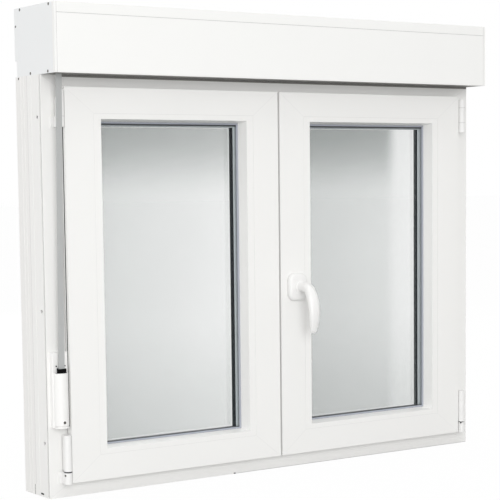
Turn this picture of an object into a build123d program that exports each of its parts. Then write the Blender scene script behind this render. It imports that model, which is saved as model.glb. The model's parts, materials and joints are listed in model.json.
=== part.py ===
from build123d import *
import math
import os

os.makedirs("parts", exist_ok=True)

# A white two-leaf window with a roller shutter box on top, seen from the room side at -Y.
# Sizes are in millimetres. X runs along the sill, Z is up, and Y = 0 is the frame's mid depth.
# The origin is on the sill's underside, at the middle of its length and depth.

# Overall sizes.
window_width = 1200.0
frame_height = 905.0
box_height = 145.0
frame_depth = 62.0

# Frame section.
jamb_width = 53.0
sill_width = 40.5
head_width = 33.5
rebate_step = 20.0
frame_leg_depth = 17.0
frame_wall = 4.0
mitre_web = 8.0
side_groove_inset = 2.0
side_groove_width = 6.0
side_groove_depth = 2.0
steel_wall = 1.5
steel_clearance = 0.3
frame_steel_depth = 12.0
fixing_hole_radius = 4.0
fixing_hole_depth_place = 18.5
fixing_hole_low = 119.0
fixing_hole_middle = 404.0
fixing_hole_drop = 89.0
drain_spacing = 600.0
drain_height = 18.0
drain_cap_length = 42.0
drain_cap_width = 14.0
drain_cap_depth = 4.0

# Leaf section, measured inwards from the leaf's outer edge.
leaf_gap = 5.0
leaf_overlap = 8.0
leaf_proud = 21.0
leaf_depth = 62.0
flap_thickness = 17.0
rebate_gap = 12.0
meeting_body_inset = 6.0
stile_width = 69.0
rail_width = 55.0
leaf_wall = 3.0
leaf_leg_depth = 10.0
bead_stile_width = 18.0
bead_rail_width = 12.0
bead_slope_share = 0.39
leaf_steel_depth = 14.0

# Glass unit.
glass_thickness = 4.0
glass_cavity = 12.0
glass_edge_gap = 5.0
spacer_width = 12.0
spacer_edge_inset = 2.0
bead_fit = 0.4
glass_seal_thickness = 3.0
glass_seal_width = 6.5
glass_seal_show = 1.8
overlap_seal_inset = 3.0
overlap_seal_width = 6.0
overlap_seal_gap = 0.6

meeting_lip_tip = 0.3
meeting_lip_thickness = 2.0

# Centre post on the left leaf.
post_clearance = 1.0
post_wall = 3.0
bolt_width = 7.6
bolt_depth = 7.6
bolt_clearance = 0.2
bolt_length = 90.0
bolt_travel = 18.0
bolt_reach = 8.5

# Hinges.
hinge_side_offset = 10.5
barrel_radius = 8.5
hinge_pin_radius = 3.0
bore_clearance = 0.05
bearing_bottom = 32.0
bearing_top = 57.0
lower_barrel_bottom = 60.0
lower_barrel_top = 138.0
upper_hinge_drop = 32.0
upper_left_length = 78.0
upper_left_joint_drop = 56.0
upper_right_length = 82.0
upper_right_low_joint_drop = 58.0
upper_right_high_joint_drop = 21.0
hinge_plate_depth = 2.5
hinge_plate_reach = 12.5
hinge_web_half = 6.0
leaf_plate_gap = 0.5
leaf_plate_thickness = 1.7
leaf_flange_thickness = 2.5
leaf_flange_depth = 18.0
tilt_axis_height = 37.0
pivot_bore_radius = 6.0
pivot_block_bottom = 34.3
pivot_block_top = 40.0
pivot_slot_width = 5.0
pivot_foot_width = 3.0
pivot_foot_length = 4.4
pivot_pin_radius = 1.5

# Stay arm over the right leaf.
stay_length = 330.0
stay_thickness = 3.0
stay_width = 13.0
stay_head_gap = 2.0
stay_place = 12.0
stay_plate_thickness = 2.5
stay_pin_radius = 2.5
stay_pin_length = 6.2
stay_track_slot = 9.0
stay_track_wall = 2.0
stay_track_height = 5.0
stay_track_length = 60.0

# Handle and drive.
handle_x = 50.0
handle_drop = 28.0
rosette_centre_x = 47.0
rosette_width = 52.0
rosette_below = 32.0
rosette_above = 32.0
rosette_depth = 12.0
rosette_corner = 9.0
neck_radius = 11.0
neck_length = 20.0
neck_seat = 6.0
lever_length = 105.0
spindle_radius = 3.5
spindle_length = 44.0
spindle_hole_radius = 6.0
gearbox_height = 120.0
gearbox_depth = 13.0
gearbox_width = 50.0
rod_groove_width = 8.0
rod_groove_depth = 3.0
rod_clearance = 0.3
rod_centre = 13.0
cam_radius = 3.5
cam_length = 8.0
cam_low = 232.0
cam_high_drop = 273.0
stile_rod_room = 205.0
top_rod_length = 150.0
top_cam_x = 138.0
drive_travel = 36.0
keep_pocket = 50.0
keep_block = 6.0
keep_width = 12.0
keep_base = 2.0
keep_block_height = 4.0
mullion_keep_height = 2.0

# Shutter box.
box_front_proud = 68.0
box_panel = 8.0
lid_height = 123.0
end_cap_thickness = 5.0
back_step_height = 34.0
screw_head_radius = 3.2
screw_head_depth = 1.0
screw_radius = 1.5
screw_clearance = 0.1
screw_length = 11.0

# Shutter guides on the outdoor side.
guide_depth = 53.0
guide_wall = 3.0
guide_slot_depth = 28.0
guide_slot_width = 10.0
slat_thickness = 7.0
slat_end_gap = 12.0
brush_thickness = 1.2
brush_width = 5.0

# Roll of slats.
roll_centre_y = 36.0
roll_centre_height = 72.0
roll_outer_radius = 52.0
roll_pitch = 7.4
roll_slat_counts = (9, 8, 6, 5)
slat_gap = 0.8
slat_wall = 1.2
axle_wall = 1.0
axle_fit = 0.4
axle_stub_radius = 6.0
bottom_slat_height = 45.0
bottom_slat_lift = 5.0
curtain_length = 32.0
shutter_travel = 890.0

# Belt and belt winder on the left.
belt_side_inset = 25.5
belt_width = 14.0
belt_thickness = 1.2
belt_seat_gap = 0.3
belt_slot_y = -35.0
belt_slot_clearance = 1.5
pulley_radius = 25.0
pulley_flange_radius = 46.0
pulley_flange = 2.0
pulley_side_gap = 0.5
guide_roller_radius = 5.0
roller_rise = 9.0
winder_bottom = 155.0
winder_top = 318.0
winder_width = 38.0
winder_depth = 12.0
winder_cover_radius = 16.5
winder_cover_wall = 1.5
winder_cover_top = 273.0
winder_mouth_height = 11.0
winder_mouth_width = 21.6
winder_wall = 2.0
spool_y = 4.0
spool_z = 215.0
spool_core_radius = 13.0
spool_core_wall = 2.0
spool_coil_radius = 21.5
spool_flange_radius = 23.0
spool_flange = 1.5
spool_pin_radius = 3.0
spool_side_gap = 0.8
spring_inner_radius = 5.4
spring_outer_radius = 10.7

# Places worked out from the sizes above.
half_width = window_width / 2
belt_x = -half_width + belt_side_inset
fixing_hole_high = frame_height - fixing_hole_drop
upper_hinge_top = frame_height - upper_hinge_drop
upper_left_bottom = upper_hinge_top - upper_left_length
upper_left_joint = upper_hinge_top - upper_left_joint_drop
upper_right_bottom = upper_hinge_top - upper_right_length
upper_right_low_joint = upper_hinge_top - upper_right_low_joint_drop
upper_right_high_joint = upper_hinge_top - upper_right_high_joint_drop
cam_high = frame_height - cam_high_drop
stile_rod_length = frame_height - stile_rod_room
frame_front = -frame_depth / 2
frame_back = frame_depth / 2
leg_front = frame_back - frame_leg_depth
box_bottom_z = frame_height
box_top_z = frame_height + box_height
leaf_front = frame_front - leaf_proud
leaf_back = leaf_front + leaf_depth
flap_back = leaf_front + flap_thickness
leaf_leg_front = leaf_back - leaf_leg_depth
body_inset = rebate_gap + leaf_overlap
leaf_bottom = sill_width - leaf_overlap
leaf_top = frame_height - head_width + leaf_overlap
handle_z = (leaf_bottom + leaf_top) / 2 - handle_drop
rosette_bottom = handle_z - rosette_below
rosette_top = handle_z + rosette_above
leaf_outer = half_width - jamb_width + leaf_overlap
leaf_inner = leaf_gap / 2
left_rect = (-leaf_outer, -leaf_inner, leaf_bottom, leaf_top)
right_rect = (leaf_inner, leaf_outer, leaf_bottom, leaf_top)
frame_rect = (-half_width, half_width, 0.0, frame_height)
glass_back = leaf_leg_front - glass_seal_thickness
glass_front = glass_back - glass_cavity - 2 * glass_thickness
bead_back = glass_front - glass_seal_thickness
hinge_x = leaf_outer + hinge_side_offset
hinge_y = leaf_front
jamb_inner = half_width - jamb_width
head_rebate = frame_height - head_width
leaf_body_top = leaf_top - body_inset
leaf_body_side = leaf_outer - body_inset
meeting_face = leaf_inner + meeting_body_inset
post_face = -leaf_inner - post_clearance
roll_y = frame_front + roll_centre_y
roll_z = frame_height + roll_centre_height
curtain_y = roll_y + roll_outer_radius
guide_front = frame_back
guide_back = frame_back + guide_depth
box_front = frame_front - box_front_proud
lid_back = box_front + box_panel
drive_y = frame_front + rod_centre


# Basic shapes that several pieces share.
def block(x0, x1, y0, y1, z0, z1, mode=Mode.ADD):
    with Locations(((x0 + x1) / 2, (y0 + y1) / 2, (z0 + z1) / 2)):
        Box(x1 - x0, y1 - y0, z1 - z0, mode=mode)


def round_x(y, z, x0, x1, radius, mode=Mode.ADD):
    with Locations(Location(((x0 + x1) / 2, y, z), (0, 90, 0))):
        Cylinder(radius, x1 - x0, mode=mode)


def round_y(x, z, y0, y1, radius, mode=Mode.ADD):
    with Locations(Location((x, (y0 + y1) / 2, z), (90, 0, 0))):
        Cylinder(radius, y1 - y0, mode=mode)


def round_z(x, y, z0, z1, radius, mode=Mode.ADD):
    with Locations((x, y, (z0 + z1) / 2)):
        Cylinder(radius, z1 - z0, mode=mode)


# Outline of one mitred bar in the XZ plane. The insets are left, right, bottom and top.
def bar_outline(side, rect, outer, inner, web=0.0):
    x0, x1, z0, z1 = rect
    out = (x0 + outer[0], x1 - outer[1], z0 + outer[2], z1 - outer[3])
    inn = (x0 + inner[0], x1 - inner[1], z0 + inner[2], z1 - inner[3])
    if side == "left":
        return [(out[0], out[2] + web), (inn[0], inn[2] + web), (inn[0], inn[3] - web), (out[0], out[3] - web)]
    if side == "right":
        return [(out[1], out[2] + web), (inn[1], inn[2] + web), (inn[1], inn[3] - web), (out[1], out[3] - web)]
    if side == "bottom":
        return [(out[0] + web, out[2]), (out[1] - web, out[2]), (inn[1] - web, inn[2]), (inn[0] + web, inn[2])]
    return [(out[0] + web, out[3]), (out[1] - web, out[3]), (inn[1] - web, inn[3]), (inn[0] + web, inn[3])]


def bar_layer(side, rect, outer, inner, y0, y1, web=0.0, mode=Mode.ADD):
    with BuildSketch(Plane.XZ.offset(-y1)) as outline:
        with BuildLine():
            Polyline(*bar_outline(side, rect, outer, inner, web), close=True)
        make_face()
    extrude(outline.sketch, amount=y1 - y0, mode=mode)


def save(piece, label):
    piece.part.label = label
    export_step(piece.part, os.path.join("parts", label + ".step"))


# Outer frame: mitred hollow bars with a front rebate and an outdoor leg.
frame_widths = (jamb_width, jamb_width, sill_width, head_width)
leg_widths = tuple(width + rebate_step for width in frame_widths)
chamber_outer = (frame_wall, frame_wall, frame_wall, frame_wall)
chamber_inner = tuple(width - frame_wall for width in frame_widths)
flat = (0.0, 0.0, 0.0, 0.0)
chamber_front = frame_front + frame_wall
chamber_back = frame_back - frame_wall


def frame_bar(side):
    bar_layer(side, frame_rect, flat, frame_widths, frame_front, frame_back)
    bar_layer(side, frame_rect, frame_widths, leg_widths, leg_front, frame_back)
    bar_layer(side, frame_rect, chamber_outer, chamber_inner, chamber_front, chamber_back, mitre_web, Mode.SUBTRACT)


def jamb_cuts(sign):
    outside = sign * half_width
    groove_y = frame_front + side_groove_inset
    x_pair = sorted((outside, outside - sign * side_groove_depth))
    block(x_pair[0], x_pair[1], groove_y, groove_y + side_groove_width, 0, frame_height, Mode.SUBTRACT)
    hole_y = frame_front + fixing_hole_depth_place
    x_pair = sorted((outside, sign * jamb_inner))
    for height in (fixing_hole_low, fixing_hole_middle, fixing_hole_high):
        round_x(hole_y, height, x_pair[0], x_pair[1], fixing_hole_radius, Mode.SUBTRACT)


with BuildPart() as frame_sill:
    frame_bar("bottom")
    for centre in (-drain_spacing / 2, drain_spacing / 2):
        block(
            centre - drain_cap_length / 3,
            centre + drain_cap_length / 3,
            chamber_back,
            frame_back,
            drain_height - drain_cap_width / 4,
            drain_height + drain_cap_width / 4,
            Mode.SUBTRACT,
        )
save(frame_sill, "frame_sill")

with BuildPart() as frame_head:
    frame_bar("top")
save(frame_head, "frame_head")

winder_opening_low = winder_bottom + 8
winder_opening_high = winder_top - 10
cheek_outer = belt_width / 2 + spool_side_gap + spool_flange + winder_wall + spool_side_gap
with BuildPart() as frame_jamb_left:
    frame_bar("left")
    jamb_cuts(-1)
    block(
        belt_x - cheek_outer - 1,
        belt_x + cheek_outer + 1,
        frame_front,
        chamber_front,
        winder_opening_low,
        winder_opening_high,
        Mode.SUBTRACT,
    )
save(frame_jamb_left, "frame_jamb_left")

with BuildPart() as frame_jamb_right:
    frame_bar("right")
    jamb_cuts(1)
save(frame_jamb_right, "frame_jamb_right")

# Steel cores inside the frame bars, open square tubes.
steel_back = chamber_back - steel_clearance
steel_front = steel_back - frame_steel_depth
steel_inset = frame_wall + steel_clearance
with BuildPart() as frame_steel:
    for sign in (-1, 1):
        x_pair = sorted((sign * (half_width - steel_inset), sign * (jamb_inner + steel_inset)))
        z0 = sill_width + mitre_web * 2
        z1 = head_rebate - mitre_web * 2
        block(x_pair[0], x_pair[1], steel_front, steel_back, z0, z1)
        block(
            x_pair[0] + steel_wall,
            x_pair[1] - steel_wall,
            steel_front + steel_wall,
            steel_back - steel_wall,
            z0,
            z1,
            Mode.SUBTRACT,
        )
    for z0, z1 in (
        (steel_inset, sill_width - steel_inset),
        (head_rebate + steel_inset, frame_height - steel_inset),
    ):
        reach = jamb_inner - mitre_web * 2
        block(-reach, reach, steel_front, steel_back, z0, z1)
        block(
            -reach,
            reach,
            steel_front + steel_wall,
            steel_back - steel_wall,
            z0 + steel_wall,
            z1 - steel_wall,
            Mode.SUBTRACT,
        )
save(frame_steel, "frame_steel")

# Seal strips on the frame's outdoor leg, facing the leaves.
frame_seal_inset = tuple(width + rebate_step - 6 for width in frame_widths)
frame_seal_inner = tuple(width + rebate_step - 1 for width in frame_widths)
with BuildPart() as frame_gasket:
    for side in ("left", "right", "bottom", "top"):
        bar_layer(side, frame_rect, frame_seal_inset, frame_seal_inner, leaf_back + overlap_seal_gap, leg_front)
save(frame_gasket, "frame_gasket")

with BuildPart() as drain_caps:
    for centre in (-drain_spacing / 2, drain_spacing / 2):
        block(
            centre - drain_cap_length / 2,
            centre + drain_cap_length / 2,
            frame_back,
            frame_back + drain_cap_depth,
            drain_height - drain_cap_width / 2,
            drain_height + drain_cap_width / 2,
        )
save(drain_caps, "drain_caps")

# Shutter guides: hollow rails with a slot for the slats' ends.
slot_front = curtain_y - guide_slot_width / 2
slot_back = curtain_y + guide_slot_width / 2


def guide_rail(sign):
    x_pair = sorted((sign * half_width, sign * jamb_inner))
    block(x_pair[0], x_pair[1], guide_front, guide_back, 0, frame_height)
    x_pair = sorted((sign * (jamb_inner + guide_slot_depth), sign * jamb_inner))
    block(x_pair[0], x_pair[1], slot_front, slot_back, 0, frame_height, Mode.SUBTRACT)
    x_pair = sorted((sign * (half_width - guide_wall), sign * (jamb_inner + guide_wall)))
    block(
        x_pair[0],
        x_pair[1],
        guide_front + guide_wall,
        slot_front - guide_wall,
        0,
        frame_height,
        Mode.SUBTRACT,
    )
    block(
        x_pair[0],
        x_pair[1],
        slot_back + guide_wall,
        guide_back - guide_wall,
        0,
        frame_height,
        Mode.SUBTRACT,
    )


with BuildPart() as guide_left:
    guide_rail(-1)
save(guide_left, "guide_left")

with BuildPart() as guide_right:
    guide_rail(1)
save(guide_right, "guide_right")

with BuildPart() as guide_brushes:
    for sign in (-1, 1):
        x_pair = sorted((sign * (jamb_inner + 4), sign * (jamb_inner + 4 + brush_width)))
        block(x_pair[0], x_pair[1], slot_front, slot_front + brush_thickness, 0, frame_height)
        block(x_pair[0], x_pair[1], slot_back - brush_thickness, slot_back, 0, frame_height)
save(guide_brushes, "guide_brushes")

# Leaves: insets of each section line, left, right, bottom and top.
joint = (stile_width, stile_width, rail_width, rail_width)
left_body = (body_inset, body_inset, body_inset, body_inset)
right_body = (meeting_body_inset, body_inset, body_inset, body_inset)
bead_outer_line = tuple(width + bead_fit for width in joint)
bead_front_line = (
    stile_width + bead_stile_width,
    stile_width + bead_stile_width,
    rail_width + bead_rail_width,
    rail_width + bead_rail_width,
)
bead_back_line = (
    stile_width + bead_stile_width * (1 + bead_slope_share),
    stile_width + bead_stile_width * (1 + bead_slope_share),
    rail_width + bead_rail_width * (1 + bead_slope_share),
    rail_width + bead_rail_width * (1 + bead_slope_share),
)
rod_y0 = drive_y - rod_groove_width / 2
rod_y1 = drive_y + rod_groove_width / 2
gearbox_front = flap_back + leaf_wall
gearbox_z0 = handle_z - gearbox_height / 2
gearbox_z1 = handle_z + gearbox_height / 2
leaf_steel_back = leaf_leg_front - leaf_wall - steel_clearance
leaf_steel_front = leaf_steel_back - leaf_steel_depth
meeting_chamber = meeting_face + rod_groove_depth + leaf_wall


def leaf_bar(side, rect, body, wall):
    bar_layer(side, rect, flat, joint, leaf_front, flap_back)
    bar_layer(side, rect, body, joint, flap_back, leaf_leg_front)
    bar_layer(side, rect, body, bead_front_line, leaf_leg_front, leaf_back)
    inner = tuple(width - leaf_wall for width in joint)
    bar_layer(side, rect, wall, inner, flap_back + leaf_wall, leaf_leg_front - leaf_wall, mitre_web, Mode.SUBTRACT)


left_wall = tuple(inset + leaf_wall for inset in left_body)
right_wall = (
    meeting_chamber - leaf_inner,
    body_inset + leaf_wall,
    body_inset + leaf_wall,
    body_inset + leaf_wall + rod_groove_depth,
)

with BuildPart() as left_leaf_stiles:
    leaf_bar("left", left_rect, left_body, left_wall)
    leaf_bar("right", left_rect, left_body, left_wall)
save(left_leaf_stiles, "left_leaf_stiles")

with BuildPart() as left_leaf_rails:
    leaf_bar("bottom", left_rect, left_body, left_wall)
    leaf_bar("top", left_rect, left_body, left_wall)
save(left_leaf_rails, "left_leaf_rails")

with BuildPart() as right_leaf_stiles:
    leaf_bar("left", right_rect, right_body, right_wall)
    leaf_bar("right", right_rect, right_body, right_wall)
    block(
        meeting_face,
        meeting_face + rod_groove_depth,
        rod_y0,
        rod_y1,
        leaf_bottom,
        leaf_top,
        Mode.SUBTRACT,
    )
    round_y(handle_x, handle_z, leaf_front, gearbox_front, spindle_hole_radius, Mode.SUBTRACT)
save(right_leaf_stiles, "right_leaf_stiles")

with BuildPart() as right_leaf_rails:
    leaf_bar("bottom", right_rect, right_body, right_wall)
    leaf_bar("top", right_rect, right_body, right_wall)
    block(
        meeting_face,
        leaf_body_side,
        rod_y0,
        rod_y1,
        leaf_body_top - rod_groove_depth,
        leaf_body_top,
        Mode.SUBTRACT,
    )
save(right_leaf_rails, "right_leaf_rails")


# Steel cores of one leaf, open tubes at the back of the chambers.
def leaf_cores(rect, wall):
    x0, x1, z0, z1 = rect
    fit = steel_clearance
    y0 = leaf_steel_front
    y1 = leaf_steel_back
    reach = mitre_web * 2
    bars = (
        (x0 + wall[0] + fit, x0 + stile_width - leaf_wall - fit, z0 + rail_width + reach, z1 - rail_width - reach, 1),
        (x1 - stile_width + leaf_wall + fit, x1 - wall[1] - fit, z0 + rail_width + reach, z1 - rail_width - reach, 1),
        (x0 + stile_width + reach, x1 - stile_width - reach, z0 + wall[2] + fit, z0 + rail_width - leaf_wall - fit, 0),
        (x0 + stile_width + reach, x1 - stile_width - reach, z1 - rail_width + leaf_wall + fit, z1 - wall[3] - fit, 0),
    )
    for a, b, c, d, upright in bars:
        block(a, b, y0, y1, c, d)
        side = steel_wall if upright else 0.0
        end = 0.0 if upright else steel_wall
        block(a + side, b - side, y0 + steel_wall, y1 - steel_wall, c + end, d - end, Mode.SUBTRACT)


with BuildPart() as left_leaf_steel:
    leaf_cores(left_rect, left_wall)
save(left_leaf_steel, "left_leaf_steel")

with BuildPart() as right_leaf_steel:
    leaf_cores(right_rect, right_wall)
save(right_leaf_steel, "right_leaf_steel")


# Glazing beads: a flat front strip and an inner face that slopes to the glass.
def bead_bar(side, rect):
    with BuildSketch(Plane.XZ.offset(-leaf_front)) as front:
        with BuildLine():
            Polyline(*bar_outline(side, rect, bead_outer_line, bead_front_line), close=True)
        make_face()
    with BuildSketch(Plane.XZ.offset(-bead_back)) as back:
        with BuildLine():
            Polyline(*bar_outline(side, rect, bead_outer_line, bead_back_line), close=True)
        make_face()
    loft([front.sketch, back.sketch], ruled=True)


with BuildPart() as left_beads:
    for side in ("left", "right", "bottom", "top"):
        bead_bar(side, left_rect)
save(left_beads, "left_beads")

with BuildPart() as right_beads:
    for side in ("left", "right", "bottom", "top"):
        bead_bar(side, right_rect)
save(right_beads, "right_beads")

glass_line = tuple(width + glass_edge_gap for width in joint)
spacer_outer = tuple(width + spacer_edge_inset for width in glass_line)
spacer_inner = tuple(width + spacer_width for width in spacer_outer)
seal_inner = (
    bead_back_line[0] + glass_seal_show,
    bead_back_line[1] + glass_seal_show,
    bead_back_line[2] + glass_seal_show,
    bead_back_line[3] + glass_seal_show,
)
seal_outer = tuple(width - glass_seal_width for width in seal_inner)
rear_seal_outer = tuple(width - glass_seal_width for width in bead_front_line)


def ring(rect, outer, inner, y0, y1):
    x0, x1, z0, z1 = rect
    block(x0 + outer[0], x1 - outer[1], y0, y1, z0 + outer[2], z1 - outer[3])
    block(x0 + inner[0], x1 - inner[1], y0, y1, z0 + inner[2], z1 - inner[3], Mode.SUBTRACT)


def pane_pair(rect):
    x0, x1, z0, z1 = rect
    for y0 in (glass_front, glass_front + glass_thickness + glass_cavity):
        block(
            x0 + glass_line[0],
            x1 - glass_line[1],
            y0,
            y0 + glass_thickness,
            z0 + glass_line[2],
            z1 - glass_line[3],
        )


with BuildPart() as left_panes:
    pane_pair(left_rect)
save(left_panes, "left_panes")

with BuildPart() as right_panes:
    pane_pair(right_rect)
save(right_panes, "right_panes")

cavity_front = glass_front + glass_thickness
cavity_back = cavity_front + glass_cavity
with BuildPart() as left_spacer:
    ring(left_rect, spacer_outer, spacer_inner, cavity_front, cavity_back)
save(left_spacer, "left_spacer")

with BuildPart() as right_spacer:
    ring(right_rect, spacer_outer, spacer_inner, cavity_front, cavity_back)
save(right_spacer, "right_spacer")

# Rubber of one leaf: seals in front of and behind the glass, and strips behind the flap.
# The strips stop at the hinge plates.
seal_back = frame_front - overlap_seal_gap


def glass_seals(rect):
    ring(rect, seal_outer, seal_inner, bead_back, glass_front)
    ring(rect, rear_seal_outer, bead_front_line, glass_back, leaf_leg_front)


def edge_strips(rect, sign, hinge_gaps):
    x0, x1, z0, z1 = rect
    near = overlap_seal_inset
    far = overlap_seal_inset + overlap_seal_width
    block(x0 + near, x1 - near, flap_back, seal_back, z0 + near, z0 + far)
    block(x0 + near, x1 - near, flap_back, seal_back, z1 - far, z1 - near)
    outer = x1 if sign > 0 else x0
    x_pair = sorted((outer - sign * near, outer - sign * far))
    start = z0 + far
    for gap_low, gap_high in hinge_gaps:
        block(x_pair[0], x_pair[1], flap_back, seal_back, start, gap_low)
        start = gap_high
    if start < z1 - far:
        block(x_pair[0], x_pair[1], flap_back, seal_back, start, z1 - far)


# Lip that closes the line between the leaves, from one leaf's edge almost to the middle.
def meeting_lip(x0, x1):
    z0 = leaf_bottom + overlap_seal_inset + overlap_seal_width
    z1 = leaf_top - overlap_seal_inset - overlap_seal_width
    block(x0, x1, flap_back, flap_back + meeting_lip_thickness, z0, z1)


seal_room = 2.0
leaf_lower_gap = (lower_barrel_bottom - seal_room, lower_barrel_top + seal_room)
left_gaps = (leaf_lower_gap, (upper_left_joint - seal_room, leaf_body_top))
right_gaps = (leaf_lower_gap, (upper_right_low_joint - seal_room, upper_right_high_joint + seal_room))
with BuildPart() as left_leaf_rubber:
    glass_seals(left_rect)
    edge_strips(left_rect, -1, left_gaps)
    meeting_lip(post_face, -meeting_lip_tip)
save(left_leaf_rubber, "left_leaf_rubber")

with BuildPart() as right_leaf_rubber:
    glass_seals(right_rect)
    edge_strips(right_rect, 1, right_gaps)
    meeting_lip(meeting_lip_tip, meeting_face)
save(right_leaf_rubber, "right_leaf_rubber")

# Hollow centre post on the left leaf, with a groove for the edge bolts.
post_back_x = -leaf_inner - body_inset
post_bottom = leaf_bottom + body_inset
bolt_face = post_face - bolt_clearance
bolt_y0 = drive_y - bolt_depth / 2
bolt_y1 = drive_y + bolt_depth / 2
with BuildPart() as centre_post:
    block(post_back_x, post_face, flap_back, leaf_back, post_bottom, leaf_body_top)
    block(
        post_back_x + post_wall,
        post_face - bolt_width - 2 * bolt_clearance - post_wall,
        flap_back + post_wall,
        leaf_back - post_wall,
        post_bottom,
        leaf_body_top,
        Mode.SUBTRACT,
    )
    block(
        post_face - bolt_width - 2 * bolt_clearance,
        post_face,
        bolt_y0 - bolt_clearance,
        bolt_y1 + bolt_clearance,
        post_bottom,
        leaf_body_top,
        Mode.SUBTRACT,
    )
save(centre_post, "centre_post")

with BuildPart() as top_edge_bolt:
    bolt_top = leaf_body_top + bolt_reach
    block(bolt_face - bolt_width, bolt_face, bolt_y0, bolt_y1, bolt_top - bolt_length, bolt_top)
    chamfer(top_edge_bolt.edges().group_by(Axis.Z)[-1], 1.0)
save(top_edge_bolt, "top_edge_bolt")

with BuildPart() as bottom_edge_bolt:
    bolt_end = post_bottom - bolt_reach
    block(bolt_face - bolt_width, bolt_face, bolt_y0, bolt_y1, bolt_end, bolt_end + bolt_length)
    chamfer(bottom_edge_bolt.edges().group_by(Axis.Z)[0], 1.0)
save(bottom_edge_bolt, "bottom_edge_bolt")

# Hinges. Bearings and knuckles on the frame; barrels and plates on the leaves.
plate_y0 = frame_front - hinge_plate_depth


def frame_knuckle(sign, z0, z1):
    x = sign * hinge_x
    round_z(x, hinge_y, z0, z1, barrel_radius)
    block(x - hinge_web_half, x + hinge_web_half, hinge_y, frame_front, z0, z1)
    x_pair = sorted((x - sign * (barrel_radius - 0.5), x + sign * hinge_plate_reach))
    block(x_pair[0], x_pair[1], plate_y0, frame_front, z0, z1)


def leaf_knuckle(sign, z0, z1, plate_top):
    x = sign * hinge_x
    round_z(x, hinge_y, z0, z1, barrel_radius)
    back = flap_back + leaf_plate_gap + leaf_plate_thickness
    x_pair = sorted((x + sign * 2.5, x - sign * 7.5))
    block(x_pair[0], x_pair[1], hinge_y, back, z0, plate_top)
    side = sign * leaf_body_side
    x_pair = sorted((x, side))
    block(x_pair[0], x_pair[1], flap_back + leaf_plate_gap, back, z0, plate_top)
    x_pair = sorted((side, side + sign * leaf_flange_thickness))
    block(x_pair[0], x_pair[1], flap_back + leaf_plate_gap, flap_back + leaf_flange_depth, z0, plate_top)


with BuildPart() as frame_hinges:
    for sign in (-1, 1):
        frame_knuckle(sign, bearing_bottom, bearing_top)
    bore = hinge_pin_radius + 1 + bore_clearance
    round_z(-hinge_x, hinge_y, tilt_axis_height, bearing_top, bore, Mode.SUBTRACT)
    round_z(hinge_x, hinge_y, bearing_bottom + 2, bearing_top, pivot_bore_radius, Mode.SUBTRACT)
    frame_knuckle(-1, upper_left_bottom, upper_left_joint)
    round_z(-hinge_x, hinge_y, upper_left_joint, upper_hinge_top - 2, hinge_pin_radius)
    frame_knuckle(1, upper_right_high_joint, upper_hinge_top)
    frame_knuckle(1, upper_right_bottom, upper_right_low_joint)
    round_z(hinge_x, hinge_y, upper_right_low_joint, upper_right_high_joint, hinge_pin_radius)
save(frame_hinges, "frame_hinges")

# Left leaf's hinge parts and the two keeps on its centre post.
joint_gap = 0.5
leaf_plate_top = leaf_body_top - 1.5
keep_y0 = drive_y - keep_width / 2
keep_y1 = drive_y + keep_width / 2
pocket_start = -(keep_pocket - drive_travel) / 2
with BuildPart() as left_leaf_hinges:
    leaf_knuckle(-1, lower_barrel_bottom, lower_barrel_top, lower_barrel_top)
    round_z(-hinge_x, hinge_y, tilt_axis_height + 3, lower_barrel_bottom, hinge_pin_radius + 1)
    leaf_knuckle(-1, upper_left_joint + joint_gap, upper_hinge_top, leaf_plate_top)
    round_z(
        -hinge_x,
        hinge_y,
        upper_left_joint + joint_gap,
        upper_hinge_top - 1.5,
        hinge_pin_radius + bore_clearance,
        Mode.SUBTRACT,
    )
save(left_leaf_hinges, "left_leaf_hinges")

with BuildPart() as post_keeps:
    for cam in (cam_low, cam_high):
        z0 = cam + pocket_start
        z1 = z0 + keep_pocket
        block(post_face, post_face + keep_base, keep_y0, keep_y1, z0 - keep_block, z1 + keep_block)
        top = post_face + keep_base + mullion_keep_height
        block(post_face, top, keep_y0, keep_y1, z0 - keep_block, z0)
        block(post_face, top, keep_y0, keep_y1, z1, z1 + keep_block)
save(post_keeps, "post_keeps")

# Right leaf's lower hinge barrel, with a foot that rocks on the pivot pin.
with BuildPart() as right_leaf_hinge:
    leaf_knuckle(1, lower_barrel_bottom, lower_barrel_top, lower_barrel_top)
    foot_half = pivot_foot_length / 2
    foot_depth = pivot_foot_width / 2
    block(
        hinge_x - foot_half,
        hinge_x + foot_half,
        hinge_y - foot_depth,
        hinge_y + foot_depth,
        tilt_axis_height,
        lower_barrel_bottom,
    )
    round_x(hinge_y, tilt_axis_height, hinge_x - foot_half, hinge_x + foot_half, pivot_pin_radius + 1)
    round_x(
        hinge_y,
        tilt_axis_height,
        hinge_x - foot_half,
        hinge_x + foot_half,
        pivot_pin_radius + bore_clearance,
        Mode.SUBTRACT,
    )
save(right_leaf_hinge, "right_leaf_hinge")

# Pivot block: turns in the right bearing's bore and carries the tilt pin across its slot.
with BuildPart() as pivot_block:
    round_z(hinge_x, hinge_y, pivot_block_bottom, pivot_block_top, pivot_bore_radius - bore_clearance)
    block(
        hinge_x - pivot_slot_width / 2,
        hinge_x + pivot_slot_width / 2,
        hinge_y - pivot_bore_radius,
        hinge_y + pivot_bore_radius,
        pivot_block_bottom,
        pivot_block_top,
        Mode.SUBTRACT,
    )
    round_x(
        hinge_y,
        tilt_axis_height,
        hinge_x - pivot_bore_radius + 1.5,
        hinge_x + pivot_bore_radius - 1.5,
        pivot_pin_radius,
    )
save(pivot_block, "pivot_block")

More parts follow.
